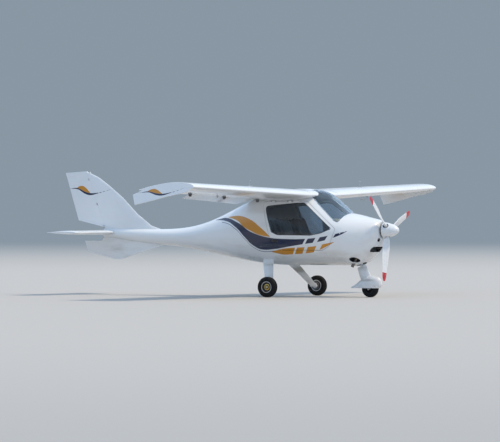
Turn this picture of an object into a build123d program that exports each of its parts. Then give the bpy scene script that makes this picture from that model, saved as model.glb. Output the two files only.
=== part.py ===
"""A two-seat high-wing ultralight aircraft of moulded composite, standing parked on its three wheels.

Frame: +X forward, +Y to port, +Z up, millimetres. The origin is on the ground, below the middle of the length.
A station is the distance aft from the spinner's tip. Pieces are built to port and mirrored where they are paired.
"""

from math import atan2, cos, degrees, hypot, radians, sin, tan
from build123d import *
import os

# Driving dimensions of the whole aircraft
LENGTH = 6200
SPAN = 8530
GROUND_TO_HUB = 1078
TRACK = 1718
MAIN_AXLE_STATION = 1930
NOSE_AXLE_STATION = 516
MAIN_WHEEL_RADIUS = 165
NOSE_WHEEL_RADIUS = 140
PROPELLER_RADIUS = 825

# Clearances between pieces that move against each other
DOOR_GAP = 6
SURFACE_GAP = 6
RUNNING_CLEARANCE = 0.1

FIREWALL_STATION = 830
CABIN_WALL = 30
BOOM_WALL = 14
COWL_WALL = 8
GLASS = 5
TAIL_END_STATION = 5450
SHELL_JOINT_STATION = 2760

BIG = 3000


def at(station):
    """X of a station."""
    return LENGTH / 2 - station


def conic(start, corner, end, fullness):
    """A quarter of an oval that is tangent to both legs of its corner. 0.414 is an ellipse, more is squarer."""
    start, corner, end = Vector(start), Vector(corner), Vector(end)
    handle = fullness * 4 / 3
    return Bezier(start, start + (corner - start) * handle, end + (corner - end) * handle, end)


def block(station_from, station_to, y_from, y_to, z_from, z_to):
    """A box between two stations, two widths and two heights."""
    size = Box(station_to - station_from, y_to - y_from, z_to - z_from)
    middle = ((station_from + station_to) / 2, (y_from + y_to) / 2, (z_from + z_to) / 2)
    return Pos(at(middle[0]), middle[1], middle[2]) * size


def side_prism(outline, rounding=0, y_from=-BIG, y_to=BIG):
    """A side-view outline of (station, height) points, its corners rounded, run across the aircraft."""
    face = make_face(Polyline(*[(at(s), 0, z) for s, z in outline], close=True))
    if rounding:
        face = fillet(face.vertices(), rounding)
    across = extrude(face, amount=y_to - y_from, dir=(0, 1, 0))
    return Pos(0, y_from, 0) * across


def rod(start, end, radius, end_radius=None):
    """A round bar, or a cone if end_radius is given, from one point to another."""
    start, end = Vector(start), Vector(end)
    along = end - start
    plane = Plane(origin=start, z_dir=along)
    if end_radius is None:
        return Solid.make_cylinder(radius, along.length, plane)
    return Solid.make_cone(radius, end_radius, along.length, plane)


def mirrored(shape):
    """The starboard twin of a port piece."""
    return mirror(shape, about=Plane.XZ)


# Fuselage and cowling: oval sections of four quarters, from the spinner to the tail

# station, top, bottom, half width, height of the widest point, fullness above it, fullness below it
COWL_SECTIONS = [
    (292, 1224, 940, 142, 1080, 0.414, 0.414),
    (342, 1244, 812, 250, 1042, 0.450, 0.450),
    (460, 1270, 668, 345, 1000, 0.480, 0.480),
    (620, 1306, 540, 430, 985, 0.490, 0.480),
    (830, 1348, 515, 520, 1000, 0.460, 0.480),
]
FUSELAGE_SECTIONS = [
    (830, 1348, 515, 520, 1000, 0.460, 0.480),
    (1060, 1526, 512, 575, 1020, 0.370, 0.480),
    (1300, 1690, 512, 610, 1040, 0.370, 0.480),
    (1560, 1742, 511, 626, 1050, 0.460, 0.480),
    (1880, 1742, 510, 628, 1050, 0.540, 0.480),
    (2220, 1690, 520, 592, 1052, 0.560, 0.480),
    (2560, 1580, 556, 522, 1055, 0.520, 0.470),
    (2900, 1440, 610, 430, 1045, 0.470, 0.460),
    (3300, 1268, 685, 318, 1015, 0.430, 0.440),
    (3800, 1128, 772, 218, 975, 0.414, 0.414),
    (4350, 1085, 830, 150, 972, 0.414, 0.414),
    (4900, 1092, 885, 105, 990, 0.414, 0.414),
    (TAIL_END_STATION, 1098, 936, 58, 1020, 0.414, 0.414),
]


def oval(section, inset):
    """The closed outline of one section, drawn in from the skin by the inset."""
    station, top, bottom, half_width, widest, above, below = section
    x, top, bottom, half_width = at(station), top - inset, bottom + inset, half_width - inset
    crown, keel = (x, 0, top), (x, 0, bottom)
    port, starboard = (x, half_width, widest), (x, -half_width, widest)
    return Wire([
        conic(crown, (x, half_width, top), port, above),
        conic(port, (x, half_width, bottom), keel, below),
        conic(keel, (x, -half_width, bottom), starboard, below),
        conic(starboard, (x, -half_width, top), crown, above),
    ])


def body(sections, inset=0, tail_inset=None):
    """The solid through a table of sections. Behind station 3000 the inset eases to tail_inset."""
    tail_inset = inset if tail_inset is None else tail_inset
    insets = [inset if row[0] < 3000 else tail_inset for row in sections]
    return Solid.make_loft([oval(row, d) for row, d in zip(sections, insets)], ruled=False)


# Wing: a straight taper with one aerofoil, hollowed behind its hinge line for flap and aileron

WING_ROOT_Y = 460
WING_END_Y = 3980
WING_INCIDENCE = 2.5
HINGE_CHORD_SHARE = 0.76
FLAP_DROOP = 15
FLAP_SPAN = (506, 2567)
AILERON_SPAN = (2593, 3934)
TRAILING_EDGE = 4

# share of chord aft of the nose, share of chord above the chord line
CREST = (0.36, 0.087)
UPPER_CORNER = (0.52, 0.087)
UPPER_HINGE = (HINGE_CHORD_SHARE, 0.044)
LOWER_HINGE = (HINGE_CHORD_SHARE, -0.018)
LOWER_CORNER = (0.36, -0.048)
LOWEST = (0.30, -0.048)


def wing_chord(y):
    """(station of the leading edge, chord, height of the leading edge) at a distance from the middle."""
    share = (y - WING_ROOT_Y) / (WING_END_Y - WING_ROOT_Y)
    return 1340 + 75 * share, 1380 - 350 * share, 1640 + 118 * share


def wing_point(y, aft, up):
    """A point of the wing's section at y, from millimetres aft of and above its leading edge."""
    station, _, height = wing_chord(y)
    i = radians(WING_INCIDENCE)
    return Vector(at(station) - aft * cos(i) - up * sin(i), y, height - aft * sin(i) + up * cos(i))


def hinge_point(y):
    """The flap and aileron hinge line, and half the wing's thickness there."""
    chord = wing_chord(y)[1]
    middle = (UPPER_HINGE[1] + LOWER_HINGE[1]) / 2
    return wing_point(y, HINGE_CHORD_SHARE * chord, middle * chord), (UPPER_HINGE[1] - LOWER_HINGE[1]) / 2 * chord


def aerofoil(y, squeeze=1.0):
    """The wing's closed outline at y, squeezed towards the middle of its chord."""
    chord = wing_chord(y)[1]

    def p(share, up=0.0):
        return wing_point(y, (0.45 + (share - 0.45) * squeeze) * chord, up * squeeze * chord)

    nose = p(0)
    edge = TRAILING_EDGE / 2 / chord
    tail_up, tail_down = p(1, edge), p(1, -edge)
    return Wire([
        conic(nose, p(0, CREST[1]), p(*CREST), 0.42),
        conic(p(*CREST), p(*UPPER_CORNER), p(*UPPER_HINGE), 0.42),
        Line(p(*UPPER_HINGE), tail_up),
        Line(tail_up, tail_down),
        Line(tail_down, p(*LOWER_HINGE)),
        conic(p(*LOWER_HINGE), p(*LOWER_CORNER), p(*LOWEST), 0.42),
        conic(p(*LOWEST), p(0, LOWEST[1]), nose, 0.42),
    ])


def wing_bay(y_from, y_to):
    """What is cut from the wing for a moving surface: all behind the hinge line, and a round cove ahead of it."""
    sections = []
    for y in (y_from, y_to):
        chord = wing_chord(y)[1]
        corners = [(HINGE_CHORD_SHARE, -0.2), (1.2, -0.2), (1.2, 0.2), (HINGE_CHORD_SHARE, 0.2)]
        points = [wing_point(y, a * chord, u * chord) for a, u in corners]
        sections.append(Wire(Polyline(*points, close=True).edges()))
    behind = Solid.make_loft(sections, ruled=True)
    (inner, inner_radius), (outer, outer_radius) = hinge_point(y_from), hinge_point(y_to)
    cove = rod(inner, outer, inner_radius + SURFACE_GAP, outer_radius + SURFACE_GAP)
    return behind + cove


def wing_surface(y_from, y_to):
    """A flap or aileron, straight: a round nose on the hinge line and flat sides to the trailing edge."""
    sections = []
    for y in (y_from, y_to):
        chord = wing_chord(y)[1]
        hinge, radius = hinge_point(y)
        aft = HINGE_CHORD_SHARE * chord
        middle = (UPPER_HINGE[1] + LOWER_HINGE[1]) / 2 * chord
        top, front, under = (wing_point(y, aft, middle + radius), wing_point(y, aft - radius, middle),
                             wing_point(y, aft, middle - radius))
        tail_up, tail_down = wing_point(y, chord, TRAILING_EDGE / 2), wing_point(y, chord, -TRAILING_EDGE / 2)
        sections.append(Wire([
            ThreePointArc(under, front, top),
            Line(top, tail_up),
            Line(tail_up, tail_down),
            Line(tail_down, under),
        ]))
    return Solid.make_loft(sections, ruled=True)


def hinge_pin(y_from, y_to, radius):
    """A pin on the wing's hinge line."""
    return rod(hinge_point(y_from)[0], hinge_point(y_to)[0], radius)


PIN_RADIUS = 6
PIN_REACH = 40
BAY = (500, 3940)
MID_LUG = (2573, 2587)


def hinge_lug():
    """The bracket between flap and aileron that carries a pin of each."""
    sections = []
    for y in MID_LUG:
        chord = wing_chord(y)[1]
        aft = HINGE_CHORD_SHARE * chord
        middle = (UPPER_HINGE[1] + LOWER_HINGE[1]) / 2 * chord
        half = hinge_point(y)[1] - 10
        corners = [(aft - 90, -half), (aft + 14, -half + 8), (aft + 14, half - 8), (aft - 90, half)]
        sections.append(Wire(Polyline(*[wing_point(y, a, middle + u) for a, u in corners], close=True).edges()))
    return Solid.make_loft(sections, ruled=True)


def wing(fuselage):
    """One wing without its tip, cut to the fuselage's side, with the pins that carry flap and aileron."""
    panel = Solid.make_loft([aerofoil(WING_ROOT_Y), aerofoil(WING_END_Y)], ruled=True)
    panel = panel - wing_bay(*BAY) + hinge_lug()
    for y_from, y_to in ((BAY[0] - 20, FLAP_SPAN[0] + PIN_REACH), (FLAP_SPAN[1] - PIN_REACH, MID_LUG[0] + 4),
                         (MID_LUG[1] - 4, AILERON_SPAN[0] + PIN_REACH), (AILERON_SPAN[1] - PIN_REACH, BAY[1] + 20)):
        panel = panel + hinge_pin(y_from, y_to, PIN_RADIUS)
    return panel - fuselage


def pinned(surface, span):
    """A moving surface with the holes of its two end pins."""
    for end, inward in ((span[0], 1), (span[1], -1)):
        surface = surface - hinge_pin(end - 10 * inward, end + (PIN_REACH + 5) * inward, PIN_RADIUS + RUNNING_CLEARANCE)
    return surface


def flap():
    """A flap, drooped to the setting it has while parked."""
    inner, outer = hinge_point(FLAP_SPAN[0])[0], hinge_point(FLAP_SPAN[1])[0]
    return pinned(wing_surface(*FLAP_SPAN), FLAP_SPAN).rotate(Axis(inner, inner - outer), FLAP_DROOP)


# Wing tip: the section runs out to a canted outer face, and a thin plate droops below it in the same face

TIP_EDGE_Y = 4205
TIP_EDGE_HEIGHT = 1760
TIP_CANT = 12
TIP_EDGE_ROUNDING = 6
PLATE_THICKNESS = 16

# station, height of the plate's side view
PLATE_OUTLINE = [(1440, 1768), (1500, 1700), (1636, 1661), (1871, 1613), (2044, 1570), (2199, 1532), (2438, 1480),
                 (2490, 1641), (2322, 1716), (2190, 1770), (2000, 1796), (1800, 1818), (1600, 1812)]
# the line that the top follows down to the plate's rear corner, at the wing's end and at the outer face
TIP_TOP_INNER = [(2150, 1850), (2322, 1800), (2700, 1735)]
TIP_TOP_OUTER = [(2150, 1793), (2322, 1717), (2700, 1546)]


def wing_tip():
    """The moulded tip, cut off at the canted face, with the plate flush in that face."""
    run_out = Solid.make_loft([aerofoil(WING_END_Y), aerofoil(TIP_EDGE_Y + 60)], ruled=True)
    cant = Pos(0, TIP_EDGE_Y, TIP_EDGE_HEIGHT) * Rot(TIP_CANT, 0, 0) * Pos(0, 0, -TIP_EDGE_HEIGHT)
    above = []
    for y, line in ((WING_END_Y, TIP_TOP_INNER), (TIP_EDGE_Y + 60, TIP_TOP_OUTER)):
        corners = [*line, (2700, 2100), (2150, 2100)]
        above.append(Wire.make_polygon([(at(station), y, z) for station, z in corners]))
    run_out = run_out - cant * block(1000, 3000, 0, 400, 1200, 2200) - Solid.make_loft(above, ruled=True)
    tip = run_out + cant * side_prism(PLATE_OUTLINE, 10, -PLATE_THICKNESS, 0)
    outward = Vector(0, cos(radians(TIP_CANT)), sin(radians(TIP_CANT)))
    outer = max(tip.faces(), key=lambda face: face.area if face.normal_at().dot(outward) > 0.99 else 0)
    return fillet(outer.edges(), TIP_EDGE_ROUNDING)


# Fin, rudder and the fin under the boom

RUDDER_GAP = 6
RUDDER_PIVOT_LOW = Vector(at(5424), 0, 1108)
RUDDER_PIVOT_HIGH = Vector(at(5800), 0, 2032)
RUDDER_NOSE = (36, 15)

# height, station of the leading edge
FIN_EDGE = [(1040, 4240), (1090, 4400), (1140, 4560), (1330, 4822), (1600, 5103), (1800, 5360), (1940, 5568), (2024, 5768)]
# station, height of the whole rudder's side view
RUDDER_OUTLINE = [(5395, 1104), (5950, 1228), (6200, 2014), (5800, 2040), (5770, 2038)]


def rudder_line(height):
    """Station of the rudder's hinge line at a height."""
    share = (height - RUDDER_PIVOT_LOW.Z) / (RUDDER_PIVOT_HIGH.Z - RUDDER_PIVOT_LOW.Z)
    return LENGTH / 2 - (RUDDER_PIVOT_LOW.X + share * (RUDDER_PIVOT_HIGH.X - RUDDER_PIVOT_LOW.X))


def fin():
    """The fixed fin with its long fillet, each level a half oval that ends at the hinge line."""
    sections = []
    for height, edge in FIN_EDGE:
        share = (height - FIN_EDGE[0][0]) / (FIN_EDGE[-1][0] - FIN_EDGE[0][0])
        half = RUDDER_NOSE[0] + 6 - (RUDDER_NOSE[0] - RUDDER_NOSE[1] + 3) * share
        front, rear = at(edge), at(rudder_line(height))
        nose, port, starboard = (front, 0, height), (rear, half, height), (rear, -half, height)
        sections.append(Wire([
            conic(starboard, (front, -half, height), nose, 0.40),
            conic(nose, (front, half, height), port, 0.40),
            Line(port, starboard),
        ]))
    solid = Solid.make_loft(sections, ruled=True)
    reach = (RUDDER_PIVOT_HIGH - RUDDER_PIVOT_LOW) * 0.1
    cove = rod(RUDDER_PIVOT_LOW - reach, RUDDER_PIVOT_HIGH + reach,
               RUDDER_NOSE[0] + RUDDER_GAP, RUDDER_NOSE[1] + RUDDER_GAP - 2)
    return solid - (cove & block(5000, 6400, -BIG, BIG, 1099, BIG))


RUDDER_LUGS = (0.42, 0.86)
LUG_HALF_HEIGHT = 11


def along_rudder(share):
    """A point on the rudder's hinge line."""
    return RUDDER_PIVOT_LOW + (RUDDER_PIVOT_HIGH - RUDDER_PIVOT_LOW) * share


def rudder_frame(share):
    """A plane across the hinge line, its X pointing forward."""
    return Plane(origin=along_rudder(share), x_dir=(1, 0, 0.41), z_dir=RUDDER_PIVOT_HIGH - RUDDER_PIVOT_LOW)


def rudder_lugs():
    """The two brackets on the fin's rear face, each with a pin that stands up into the rudder."""
    lugs = []
    for share in RUDDER_LUGS:
        arm = Location(rudder_frame(share)) * Pos(26, 0, 0) * Box(68, 14, LUG_HALF_HEIGHT * 2)
        pin = rod(along_rudder(share - 0.04), along_rudder(share + 0.04), PIN_RADIUS)
        lugs.append(arm + pin)
    foot_pin = rod(along_rudder(-0.03), along_rudder(0.05), PIN_RADIUS)
    return lugs, foot_pin


def rudder():
    """The rudder: a round nose on the hinge line, flat sides, slots for the fin's two brackets."""
    direction = (RUDDER_PIVOT_HIGH - RUDDER_PIVOT_LOW).normalized()
    sections = []
    for share, radius, chord in ((-0.25, 38, 640), (1.25, 12, 380)):
        frame = Plane(origin=along_rudder(share), x_dir=(1, 0, 0.41), z_dir=direction)

        def p(forward, aside):
            return frame.from_local_coords((forward, aside, 0))

        sections.append(Wire([
            ThreePointArc(p(0, -radius), p(radius, 0), p(0, radius)),
            Line(p(0, radius), p(-chord, 3)),
            Line(p(-chord, 3), p(-chord, -3)),
            Line(p(-chord, -3), p(0, -radius)),
        ]))
    blade = Solid.make_loft(sections, ruled=True) & side_prism(RUDDER_OUTLINE, 0, -200, 200)
    for share in RUDDER_LUGS:
        slot = Location(rudder_frame(share)) * Pos(40, 0, 0) * Box(110, 200, LUG_HALF_HEIGHT * 2 + 12)
        blade = blade - slot
        blade = blade - rod(along_rudder(share - 0.05), along_rudder(share + 0.05), PIN_RADIUS + RUNNING_CLEARANCE)
    return blade - rod(along_rudder(-0.05), along_rudder(0.055), PIN_RADIUS + RUNNING_CLEARANCE)


# station, height of the side view; station, half width of the plan view
VENTRAL_OUTLINE = [(4120, 960), (4250, 860), (4420, 800), (4780, 700), (5110, 590), (5240, 588), (5450, 636),
                   (5768, 717), (5832, 890), (5500, 890), (5440, 960)]
VENTRAL_LENS = ((4100, 0), (5200, 27), (5860, 0))
VENTRAL_HEIGHTS = ((560, 8), (900, 27))


def ventral_fin(fuselage):
    """The keel-like fin below the boom: a lens in plan, thinner towards its lower edge."""
    (nose, _), (middle, half), (tail, _) = VENTRAL_LENS
    plan = make_face(Wire([
        ThreePointArc((at(nose), 0), (at(middle), half), (at(tail), 0)),
        ThreePointArc((at(tail), 0), (at(middle), -half), (at(nose), 0)),
    ]))
    lens = Pos(0, 0, 500) * extrude(plan, amount=600, dir=(0, 0, 1))
    (low, low_half), (high, high_half) = VENTRAL_HEIGHTS
    front_view = Polyline((0, -low_half, low), (0, low_half, low), (0, high_half, high), (0, high_half, 1000),
                          (0, -high_half, 1000), (0, -high_half, high), close=True)
    wedge = Pos(at(6200), 0, 0) * extrude(make_face(front_view), amount=6200, dir=(1, 0, 0))
    return (side_prism(VENTRAL_OUTLINE, 0, -100, 100) & lens & wedge) - fuselage


# All-moving tailplane on a tube through the boom, with its anti-servo tab

TAILPLANE_PIVOT_STATION = 5392
TAILPLANE_HEIGHT = 1030
TAILPLANE_TUBE = 20
TAILPLANE_HALF_SPAN = 1200
TAILPLANE_ROOT_Y = 90
TAB_HINGE_STATION = 5742
TAB_HALF_SPAN = 560
TAB_NOSE = 9
TAB_GAP = 5

# distance from the middle, station of the leading edge, station of the trailing edge, half thickness
TAILPLANE_SECTIONS = [(TAILPLANE_ROOT_Y, 5232, 5862, 38), (1140, 5262, 5862, 30), (TAILPLANE_HALF_SPAN, 5318, 5852, 17)]


def tailplane_outline(y, front_station, rear_station, half):
    """A symmetrical section of the tailplane."""
    front, rear, z = at(front_station), at(rear_station), TAILPLANE_HEIGHT
    thickest = front - 0.33 * (front - rear)
    nose, crown, belly = (front, y, z), (thickest, y, z + half), (thickest, y, z - half)
    tail_up, tail_down = (rear, y, z + 3), (rear, y, z - 3)
    knee = thickest - 0.25 * (front - rear)
    return Wire([
        conic(nose, (front, y, z + half), crown, 0.42),
        conic(crown, (knee, y, z + half), tail_up, 0.36),
        Line(tail_up, tail_down),
        conic(tail_down, (knee, y, z - half), belly, 0.36),
        conic(belly, (front, y, z - half), nose, 0.42),
    ])


def tailplane():
    """Both halves on one tube, with the notch and pins of the tab."""
    port = Solid.make_loft([tailplane_outline(*row) for row in TAILPLANE_SECTIONS[:2]], ruled=True)
    port = port + Solid.make_loft([tailplane_outline(*row) for row in TAILPLANE_SECTIONS[1:]], ruled=True)
    notch = block(TAB_HINGE_STATION - TAB_NOSE - TAB_GAP, 6000, 0, TAB_HALF_SPAN + TAB_GAP, 900, 1200)
    pin_from, pin_to = (at(TAB_HINGE_STATION), TAB_HALF_SPAN - 25, TAILPLANE_HEIGHT), \
        (at(TAB_HINGE_STATION), TAB_HALF_SPAN + 25, TAILPLANE_HEIGHT)
    port = port - notch + rod(pin_from, pin_to, 3)
    tube_end = TAILPLANE_ROOT_Y + 40
    tube = rod((at(TAILPLANE_PIVOT_STATION), -tube_end, TAILPLANE_HEIGHT),
               (at(TAILPLANE_PIVOT_STATION), tube_end, TAILPLANE_HEIGHT), TAILPLANE_TUBE)
    return port + mirrored(port) + tube


def tab():
    """The anti-servo tab across the tailplane's middle."""
    x, z, rear = at(TAB_HINGE_STATION), TAILPLANE_HEIGHT, at(5862)
    section = Wire([
        ThreePointArc((x, -TAB_HALF_SPAN, z - TAB_NOSE), (x + TAB_NOSE, -TAB_HALF_SPAN, z),
                      (x, -TAB_HALF_SPAN, z + TAB_NOSE)),
        Line((x, -TAB_HALF_SPAN, z + TAB_NOSE), (rear, -TAB_HALF_SPAN, z + 3)),
        Line((rear, -TAB_HALF_SPAN, z + 3), (rear, -TAB_HALF_SPAN, z - 3)),
        Line((rear, -TAB_HALF_SPAN, z - 3), (x, -TAB_HALF_SPAN, z - TAB_NOSE)),
    ])
    strip = extrude(make_face(section), amount=2 * TAB_HALF_SPAN, dir=(0, 1, 0))
    hole = rod((x, TAB_HALF_SPAN - 30, z), (x, TAB_HALF_SPAN + 5, z), 3 + RUNNING_CLEARANCE)
    return strip - hole - mirrored(hole)


# Openings of the cabin: windscreen and the two doors that swing up under the wing

# station, height, corner radius
WINDSCREEN_OUTLINE = [(815, 1420, 5), (862, 1196, 34), (940, 1224, 60), (1500, 1696, 12), (1500, 1850, 5), (780, 1850, 5)]
DOOR_OUTLINE = [(884, 1098, 40), (985, 830, 90), (1110, 760, 70), (1870, 760, 70), (1992, 850, 90), (2195, 1540, 40),
                (1430, 1540, 60)]
WINDOW_OUTLINE = [(950, 1102, 26), (1125, 1028, 300), (1290, 997, 400), (1880, 1003, 300), (1990, 1048, 55),
                  (2134, 1462, 34), (1472, 1524, 60)]
DOOR_AXIS_HEIGHT = 1542
DOOR_AXIS_Y = 523
DOOR_HINGES = (1700, 2000)
HINGE_PIN = 5
HINGE_EYE = 11


def side_face(outline):
    """A side-view face from rows of station, height and the radius of each corner."""
    points = [Vector(at(s), 0, z) for s, z, _ in outline]
    bends = []
    for i, (_, _, radius) in enumerate(outline):
        back = (points[i - 1] - points[i]).normalized()
        ahead = (points[(i + 1) % len(points)] - points[i]).normalized()
        half = radians(back.get_angle(ahead)) / 2
        middle = points[i] + (back + ahead).normalized() * (radius / sin(half) - radius)
        bends.append((points[i] + back * (radius / tan(half)), middle, points[i] + ahead * (radius / tan(half))))
    edges = []
    for i, (start, middle, end) in enumerate(bends):
        edges += [ThreePointArc(start, middle, end), Line(end, bends[(i + 1) % len(bends)][0])]
    return make_face(Wire(edges))


def door_hole(gap):
    """The port doorway, wider than the door by the gap on every edge."""
    face = side_face(DOOR_OUTLINE)
    if gap:
        face = offset(face, gap)
    return Pos(0, 150, 0) * extrude(face, amount=BIG, dir=(0, 1, 0))


def window_hole():
    """The window's opening in the port door."""
    return Pos(0, 150, 0) * extrude(side_face(WINDOW_OUTLINE), amount=BIG, dir=(0, 1, 0))


def hinge_rod(station_from, station_to, radius):
    """A round piece on the port door's hinge axis."""
    return rod((at(station_from), DOOR_AXIS_Y, DOOR_AXIS_HEIGHT), (at(station_to), DOOR_AXIS_Y, DOOR_AXIS_HEIGHT), radius)


def door_hinges(pod):
    """The fixed halves of the port door's two hinges: a pin between two eyes on short arms from the shell."""
    hinges = []
    for station in DOOR_HINGES:
        hinge = hinge_rod(station - 45, station + 45, HINGE_PIN)
        for end in (station - 45, station + 30):
            arm = block(end, end + 15, DOOR_AXIS_Y - 60, DOOR_AXIS_Y, DOOR_AXIS_HEIGHT + 2, DOOR_AXIS_HEIGHT + 9)
            hinge = hinge + hinge_rod(end, end + 15, HINGE_EYE) + arm
        hinges.append(hinge - pod)
    return hinges


def door_knuckles(door):
    """The port door with its own eye on each pin, and room for the fixed eyes."""
    for station in DOOR_HINGES:
        arm = block(station - 26, station + 26, DOOR_AXIS_Y - 40, DOOR_AXIS_Y + 4, DOOR_AXIS_HEIGHT - 30, DOOR_AXIS_HEIGHT)
        door = door + hinge_rod(station - 26, station + 26, HINGE_EYE) + arm
        for end in (station - 45, station + 30):
            door = door - hinge_rod(end - 3, end + 18, HINGE_EYE + 3)
        door = door - hinge_rod(station - 60, station + 60, HINGE_PIN + RUNNING_CLEARANCE)
    return door


# Main undercarriage: one sprung composite leg a side, with axle and wheel

# height, station and distance from the middle of the leg's centre, chord, thickness
LEG_SECTIONS = [(640, 2190, 330, 204, 52), (520, 2140, 440, 182, 44), (300, 2020, 640, 154, 38), (150, 1935, 762, 122, 30)]
AXLE_RADIUS = 14
AXLE_Y = (752, 905)
MAIN_TYRE_WIDTH = 104
MAIN_RIM_RADIUS = 86


def main_leg():
    """A leg of lens section that leans out and forward to the axle."""
    sections = []
    for height, station, y, chord, thickness in LEG_SECTIONS:
        front, rear, half = at(station) + chord / 2, at(station) - chord / 2, thickness / 2
        sections.append(Wire([
            conic((front, y, height), (front, y + half, height), (at(station), y + half, height), 0.42),
            conic((at(station), y + half, height), (rear, y + half, height), (rear, y, height), 0.36),
            conic((rear, y, height), (rear, y - half, height), (at(station), y - half, height), 0.36),
            conic((at(station), y - half, height), (front, y - half, height), (front, y, height), 0.42),
        ]))
    return Solid.make_loft(sections, ruled=True)


def main_axle():
    """The port axle: a stub with the flange that bolts to the leg."""
    x, z = at(MAIN_AXLE_STATION), MAIN_WHEEL_RADIUS
    stub = rod((x, AXLE_Y[0], z), (x, AXLE_Y[1], z), AXLE_RADIUS)
    return stub + rod((x, 778, z), (x, 790, z), 44)


def tyre(outer, bead, width, station, y):
    """A low-pressure tyre: a round-shouldered ring."""
    half = width / 2
    shoulder = outer - 0.42 * (outer - bead)
    profile = Wire([
        Line((bead, -half * 0.72, 0), (bead, half * 0.72, 0)),
        conic((bead, half * 0.72, 0), (bead, half, 0), (shoulder, half, 0), 0.42),
        conic((shoulder, half, 0), (outer, half, 0), (outer, half * 0.35, 0), 0.42),
        Line((outer, half * 0.35, 0), (outer, -half * 0.35, 0)),
        conic((outer, -half * 0.35, 0), (outer, -half, 0), (shoulder, -half, 0), 0.42),
        conic((shoulder, -half, 0), (bead, -half, 0), (bead, -half * 0.72, 0), 0.42),
    ])
    return Pos(at(station), y, outer) * revolve(make_face(profile), Axis.Y, 360)


def rim(bead, width, hub_radius, bore, holes, station, y, height):
    """A spun rim with a lip each side, a pierced web and a hub."""
    half = width * 0.36
    barrel = rod((0, -half, 0), (0, half, 0), bead) - rod((0, -half - 1, 0), (0, half + 1, 0), bead - 9)
    web = rod((0, -7, 0), (0, 7, 0), bead - 4)
    hub = rod((0, -half - 4, 0), (0, half + 4, 0), hub_radius)
    wheel = barrel + web + hub
    ring = (bead - 9 + hub_radius) / 2
    size = (bead - 9 - hub_radius) * 0.32
    for k in range(holes):
        angle = radians(360 / holes * (k + 0.5))
        centre = (ring * cos(angle), ring * sin(angle))
        wheel = wheel - rod((centre[0], -30, centre[1]), (centre[0], 30, centre[1]), size)
    wheel = wheel - rod((0, -half - 20, 0), (0, half + 20, 0), bore)
    return Pos(at(station), y, height) * wheel


# Nose undercarriage: a raked leg that turns in a bracket on the firewall, a fork, a wheel and its fairing

STEER_TOP = Vector(at(722), 0, 640)
STEER_FOOT = Vector(at(NOSE_AXLE_STATION), 0, NOSE_WHEEL_RADIUS)
STEER_DIRECTION = (STEER_TOP - STEER_FOOT).normalized()
LEG_TUBE = 24
NOSE_TYRE_WIDTH = 92
NOSE_AXLE_RADIUS = 10
FORK_Y = 58
FORK_PLATE = 9

# distance up the steering axis from the axle, chord, thickness of the leg's fairing
NOSE_LEG_SECTIONS = [(170, 190, 54), (390, 164, 50)]

# station, top, bottom, half width of the wheel fairing, widest height
SPAT_LOWER_EDGE = 146
SPAT_SECTIONS = [
    (312, 250, 200, 14, 225),
    (345, 306, 150, 52, 226),
    (430, 346, 112, 82, 212),
    (560, 338, 98, 86, 196),
    (710, 256, 100, 60, 168),
    (858, 166, 126, 9, 146),
]


def steer_point(distance, aside=0.0):
    """A point on the steering axis, a distance up from the axle."""
    return STEER_FOOT + STEER_DIRECTION * distance + Vector(0, aside, 0)


def nose_leg():
    """The steered leg: round at its head, streamlined below, with a fork round the wheel."""
    frames = []
    for distance, chord, thickness in NOSE_LEG_SECTIONS:
        frame = Plane(origin=steer_point(distance), x_dir=(STEER_DIRECTION.Z, 0, -STEER_DIRECTION.X),
                      z_dir=STEER_DIRECTION)
        half = thickness / 2

        def p(forward, aside):
            return frame.from_local_coords((forward, aside, 0))

        nose, port, tail, starboard = p(chord * 0.45, 0), p(0, half), p(-chord * 0.55, 0), p(0, -half)
        frames.append(Wire([
            conic(nose, p(chord * 0.45, half), port, 0.42),
            conic(port, p(-chord * 0.55, half), tail, 0.34),
            conic(tail, p(-chord * 0.55, -half), starboard, 0.34),
            conic(starboard, p(chord * 0.45, -half), nose, 0.42),
        ]))
    leg = Solid.make_loft(frames, ruled=True)
    leg = leg + rod(steer_point(380), steer_point(560), LEG_TUBE)
    crown = Plane(origin=steer_point(178), x_dir=(STEER_DIRECTION.Z, 0, -STEER_DIRECTION.X), z_dir=STEER_DIRECTION)
    leg = leg + Location(crown) * Box(90, 2 * (FORK_Y + FORK_PLATE), 22)
    for side in (-1, 1):
        plate = Location(Plane(origin=steer_point(80, side * (FORK_Y + FORK_PLATE / 2)),
                               x_dir=(STEER_DIRECTION.Z, 0, -STEER_DIRECTION.X), z_dir=STEER_DIRECTION))
        leg = leg + plate * Box(56, FORK_PLATE, 204)
    axle_end = FORK_Y + FORK_PLATE + 8
    axle = rod((STEER_FOOT.X, -axle_end, STEER_FOOT.Z), (STEER_FOOT.X, axle_end, STEER_FOOT.Z), NOSE_AXLE_RADIUS)
    socket = rod((STEER_FOOT.X, axle_end - 25, STEER_FOOT.Z), (STEER_FOOT.X, axle_end + 5, STEER_FOOT.Z), TOW_SOCKET)
    return leg + axle - socket - mirrored(socket)


TOW_SOCKET = 5


def steering_head():
    """The bracket on the firewall whose bore holds the leg's head."""
    lower, upper = steer_point(430), steer_point(545)
    sleeve = rod(lower, upper, LEG_TUBE + 14)
    arm = block(680, FIREWALL_STATION, -30, 30, 560, 640)
    bracket = sleeve + arm + block(FIREWALL_STATION - 10, FIREWALL_STATION, -70, 70, 530, 680)
    return bracket - rod(steer_point(400), steer_point(600), LEG_TUBE + RUNNING_CLEARANCE)


def spat_oval(row, inset):
    """One section of the wheel fairing."""
    station, top, bottom, half_width, widest = row
    return oval((station, top, bottom, half_width, widest, 0.46, 0.50), inset)


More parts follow.
